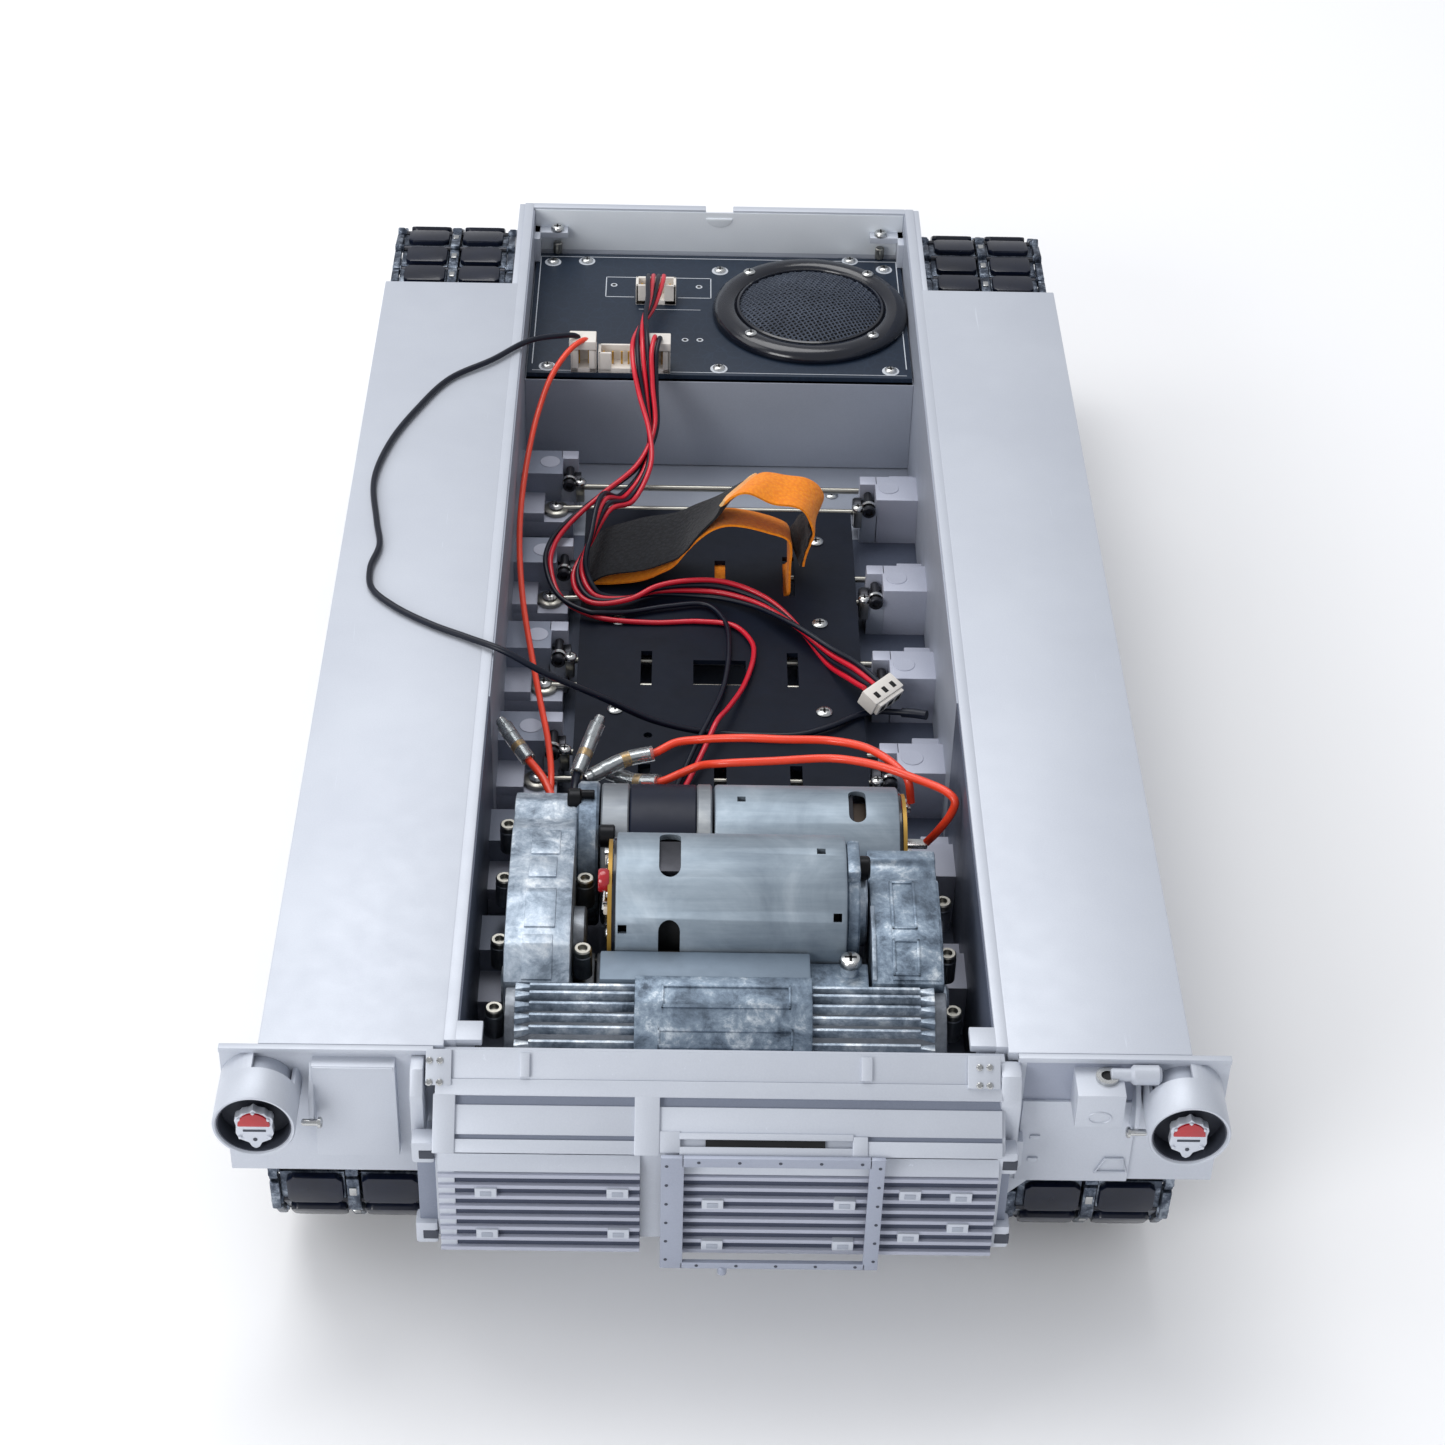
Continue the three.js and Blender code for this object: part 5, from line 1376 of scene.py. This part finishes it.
def lamp(name, s):
    p = Piece()
    x, z = (-105.8, 71) if s < 0 else (104.4, 71.4)
    hood = [(7.4, -8), (9.0, -8), (9.35, -8.3), (9.35, -17.6), (9.1, -17.95), (8.7, -17.9),
            (8.4, -17.5), (8.4, -11.6), (7.4, -11.6), (7.4, -8)]
    p.turned(hood, "y", (x, 0, z), "paint", 72)
    # Behind the hood the outer wall is open on the inboard upper side.
    turns = [math.radians(96 + 290 * i / 40) for i in range(41)]
    wall = [(x - s * 9.3 * math.cos(t), z + 9.3 * math.sin(t)) for t in turns]
    wall += [(x - s * 8.2 * math.cos(t), z + 8.2 * math.sin(t)) for t in reversed(turns)]
    p.prism(wall, -8.4, -2.8, "y", "paint", 0.1)
    # The inner cylinder behind the hood, the hood's lining, its back and the stem behind the shield are drawn
    # dark: painted shade inside the hood.
    p.rod("y", (x, z), -12, -2.8, 7.6, "paint_in", 48, 0.2)
    p.turned([(8.42, -17.3), (8.42, -11.9), (8.1, -11.9), (8.1, -17.3), (8.42, -17.3)], "y", (x, 0, z),
             "lamp_dark", 56)
    p.turned([(0, -11.9), (8.2, -11.9), (8.2, -12.3), (0, -12.3)], "y", (x, 0, z), "lamp_dark", 48)
    p.prism([(x + a, z - 1.4 + b) for a, b in SHIELD], -17.2, -15, "y", "shield", 0.3)
    p.rod("y", (x, z), -15.2, -12, 2.4, "lamp_dark", 24)
    for a, b in ((-3.2, 3.2), (3.2, 3.2), (0, 5), (-3.3, -2.4), (3.3, -2.4)):
        p.turned([(0, -17.1), (0.55, -17.2), (0.4, -17.6), (0, -17.7)], "y", (x + a, 0, z - 1.4 + b),
                 "shield", 14)
    turns = [math.pi * i / 14 for i in range(15)]
    dome = [(x + 3.7 * math.cos(t), z - 0.2 + 4 * math.sin(t)) for t in turns]
    p.prism(dome, -17.7, -16.5, "y", "red_lens", 0.3)
    p.box(x - 2.6, x + 2.6, -17.35, -16.9, z - 2.1, z - 1.5, "lamp_dark", 0.1)
    p.rod("y", (x, z - 4.6), -17.35, -16.9, 0.5, "lamp_dark", 12, 0.05)
    p.make(f"{name}_tail_lamp", "chassis", (f"{name}_tail_light",), "paint")


# ---- strap and connectors -------------------------------------------------
# The strap's two edges run at these distances along the hull; the points below are [x, z].
STRAP_NEAR, STRAP_FAR = 229, 246
UNDER = [(20.9, 42.6), (19.6, 41.2), (8, 41.1), (-8, 41.1), (-22, 41.2)]
LOWER_NEAR = [(-37.1, 45), (-29.8, 45.6), (-22.4, 46.9), (-17.5, 49.2), (-13.6, 51.6), (-9.3, 57.7),
              (-5.5, 62.5), (-1.7, 65.6), (2.2, 66.8), (7.1, 66.3), (13.9, 64.1), (19.6, 61.6), (20.7, 57.7),
              (20.7, 52.9), (20.9, 46), *UNDER]
LOWER_FAR = [(-37.4, 45), (-26, 46.6), (-17.5, 49), (-11, 53), (-5, 58.4), (-1, 60.2), (2.4, 60.7),
             (7, 60.3), (11.4, 59.5), (16.9, 57.8), (20.2, 55.6), (20.8, 51), (20.9, 46), *UNDER]
BLACK_NEAR = [(-38, 45.6), (-34.2, 48), (-24.9, 49.7), (-17.5, 52.2), (-12.2, 54.8), (-8.4, 60), (-4.6, 65),
              (-1.4, 70), (0.1, 73.3)]
BLACK_FAR = [(-38.4, 48.4), (-33, 53.4), (-25.2, 56.4), (-18.6, 58), (-12.4, 59.6), (-5.5, 62.8), (-1.4, 65.2),
             (2.3, 67.6), (9.6, 72)]
TOP_NEAR = [(0.1, 73.5), (2.9, 76.6), (6.7, 77.8), (15, 74.6), (22.8, 72.7), (25.3, 70.2), (27, 64.3),
            (26.1, 60), (24.6, 52.4)]
TOP_FAR = [(9.6, 72.1), (12, 73.4), (16, 73.6), (21, 72.8), (25.6, 71.6), (28.8, 69.6), (30.4, 66),
           (28.4, 61.4), (24.4, 58.4), (22.2, 54.6), (21.7, 50.6)]
INNER_NEAR = [(25.4, 67.6), (26.2, 64.3), (25.4, 60), (23.8, 52.2)]
INNER_FAR = [(29, 65.6), (28, 62.2), (24, 59.3), (21.4, 55), (20.9, 50.6)]


def ribbon(name, near, far, thick, mat, rows=9, count=90):
    """A webbing strip between its two edges."""
    one = smooth_path([(x, STRAP_NEAR, z) for x, z in near], count)
    two = smooth_path([(x, STRAP_FAR, z) for x, z in far], count)
    p = Piece()
    verts, faces = [], []
    for i in range(count):
        a, b = max(i - 1, 0), min(i + 1, count - 1)
        for j in range(rows):
            v = j / (rows - 1)
            at = one[i].lerp(two[i], v)
            ahead = one[b].lerp(two[b], v) - one[a].lerp(two[a], v)
            up = (two[i] - one[i]).cross(ahead).normalized()
            wave = 0.22 * math.sin(7 * math.pi * i / (count - 1) + 3 * v)
            edge = 0.55 if j in (0, rows - 1) else 1
            verts += [at + up * (wave + thick * 0.5 * edge), at + up * (wave - thick * 0.5 * edge)]

    def idx(i, j, k):
        return (i * rows + j) * 2 + k

    for i in range(count - 1):
        for j in range(rows - 1):
            for k in (0, 1):
                q = [idx(i, j, k), idx(i + 1, j, k), idx(i + 1, j + 1, k), idx(i, j + 1, k)]
                faces.append(q[::-1] if k else q)
        for j in (0, rows - 1):
            q = [idx(i, j, 0), idx(i, j, 1), idx(i + 1, j, 1), idx(i + 1, j, 0)]
            faces.append(q[::-1] if j else q)
    for i in (0, count - 1):
        for j in range(rows - 1):
            q = [idx(i, j, 0), idx(i, j + 1, 0), idx(i, j + 1, 1), idx(i, j, 1)]
            faces.append(q[::-1] if i else q)
    p.put((verts, faces), mat)
    return p.make(name, "chassis", ("battery_strap",), "strap"), round(path_length(one) / 1000, 4)


def strap():
    lower, long = ribbon("strap_lower_layer", LOWER_NEAR, LOWER_FAR, 1.1, "orange_strap", 9, 120)
    seam, _ = ribbon("strap_seam", [(-0.4, 73.3), (0.7, 75.2)], [(9, 72.4), (10.6, 73.4)], 1.3, "seam",
                     count=4)
    inner, _ = ribbon("strap_inner_face", INNER_NEAR, INNER_FAR, 0.6, "black_strap", 9, 30)
    upper, long = ribbon("strap_upper_layer", TOP_NEAR, TOP_FAR, 1.1, "orange_strap")
    hook, long = ribbon("strap_hook_face", BLACK_NEAR, BLACK_FAR, 1.1, "black_strap")


def bullet(name, points, mat="", tail=()):
    """A bullet plug in a clear sleeve, from its tip to the mouth of the sleeve, and its wire."""
    p = Piece()
    line = smooth_path(points, 24)
    ahead = (line[0] - line[1]).normalized()
    p.tube(line, 2.1, "clear_sleeve", 20)
    p.tube([line[0], line[0] + ahead * 1.6], 1.5, "clear_sleeve", 16)
    p.tube([line[0] + ahead * 2.2, *line[:-1]], 1.25, "screw", 14)
    p.tube([line[4], line[6]], 1.7, "screw", 16)
    p.tube([line[12], line[15]], 1.5, "brass", 16)
    if tail:
        p.tube(smooth_path([line[-1], *tail], 30), 1.1, mat, 12)
    p.make(name, "chassis", ("motor_leads",), "wire")


def connectors():
    bullet("bullet_1", [(-57.9, 134.5, 66), (-54.6, 130, 64), (-51.1, 125.3, 62)], "hot_wire",
           [(-46.8, 117.3, 62), (-43.9, 110, 60), (-43.4, 108, 56)])
    bullet("bullet_2", [(-33.1, 136, 66), (-35.2, 131.4, 63), (-38.2, 122.2, 60)], "black_wire",
           [(-38.6, 115.9, 60), (-38.8, 111, 58), (-38.8, 108.4, 54)])
    bullet("bullet_3", MOTOR_LEAD_A[:3])
    bullet("bullet_4", MOTOR_LEAD_B[:3])


# ---- stage --------------------------------------------------------------
def lamp_area(name, at, target, size, watts):
    data = bpy.data.lights.new(name, "AREA")
    data.shape, data.size, data.size_y, data.energy = "RECTANGLE", size[0], size[1], watts
    thing = add(name, data)
    thing.location = at
    thing.rotation_euler = (Vector(target) - Vector(at)).to_track_quat("-Z", "Y").to_euler()


def stage():
    n = Nodes("floor")
    n.colour(n.ramp(n.noise(3, 2), [(0.3, (0.97, 0.972, 0.98, 1)), (0.7, (0.98, 0.982, 0.99, 1))]))
    n.set(Roughness=0.9)
    mesh = bpy.data.meshes.new("floor")
    mesh.from_pydata([(-9, -9, 0), (9, -9, 0), (9, 9, 0), (-9, 9, 0)], [], [(0, 1, 2, 3)])
    mesh.materials.append(n.mat)
    floor = add("floor", mesh)
    floor.location.z = -0.0004
    world = bpy.data.worlds.new("studio")
    world.use_nodes = True
    world.node_tree.nodes["Background"].inputs["Color"].default_value = (0.93, 0.95, 1, 1)
    world.node_tree.nodes["Background"].inputs["Strength"].default_value = 0.54
    bpy.context.scene.world = world
    lamp_area("key_light", (-0.35, 0.6, 1.6), (0, 0.05, 0), (1.3, 1.0), 14.5)
    lamp_area("left_light", (-1.5, 0, 1.2), (0, 0, 0), (1.0, 1.2), 5)
    lamp_area("rear_light", (-1.1, -1.4, 0.85), (0, 0, 0.05), (0.8, 0.7), 13)
    bpy.context.scene.view_settings.view_transform = "Standard"


hull()
tracks()
running_gear()
electronics()
tray()
gearbox()
motors()
rear_housing()
rear_details()
strap()
connectors()
stage()
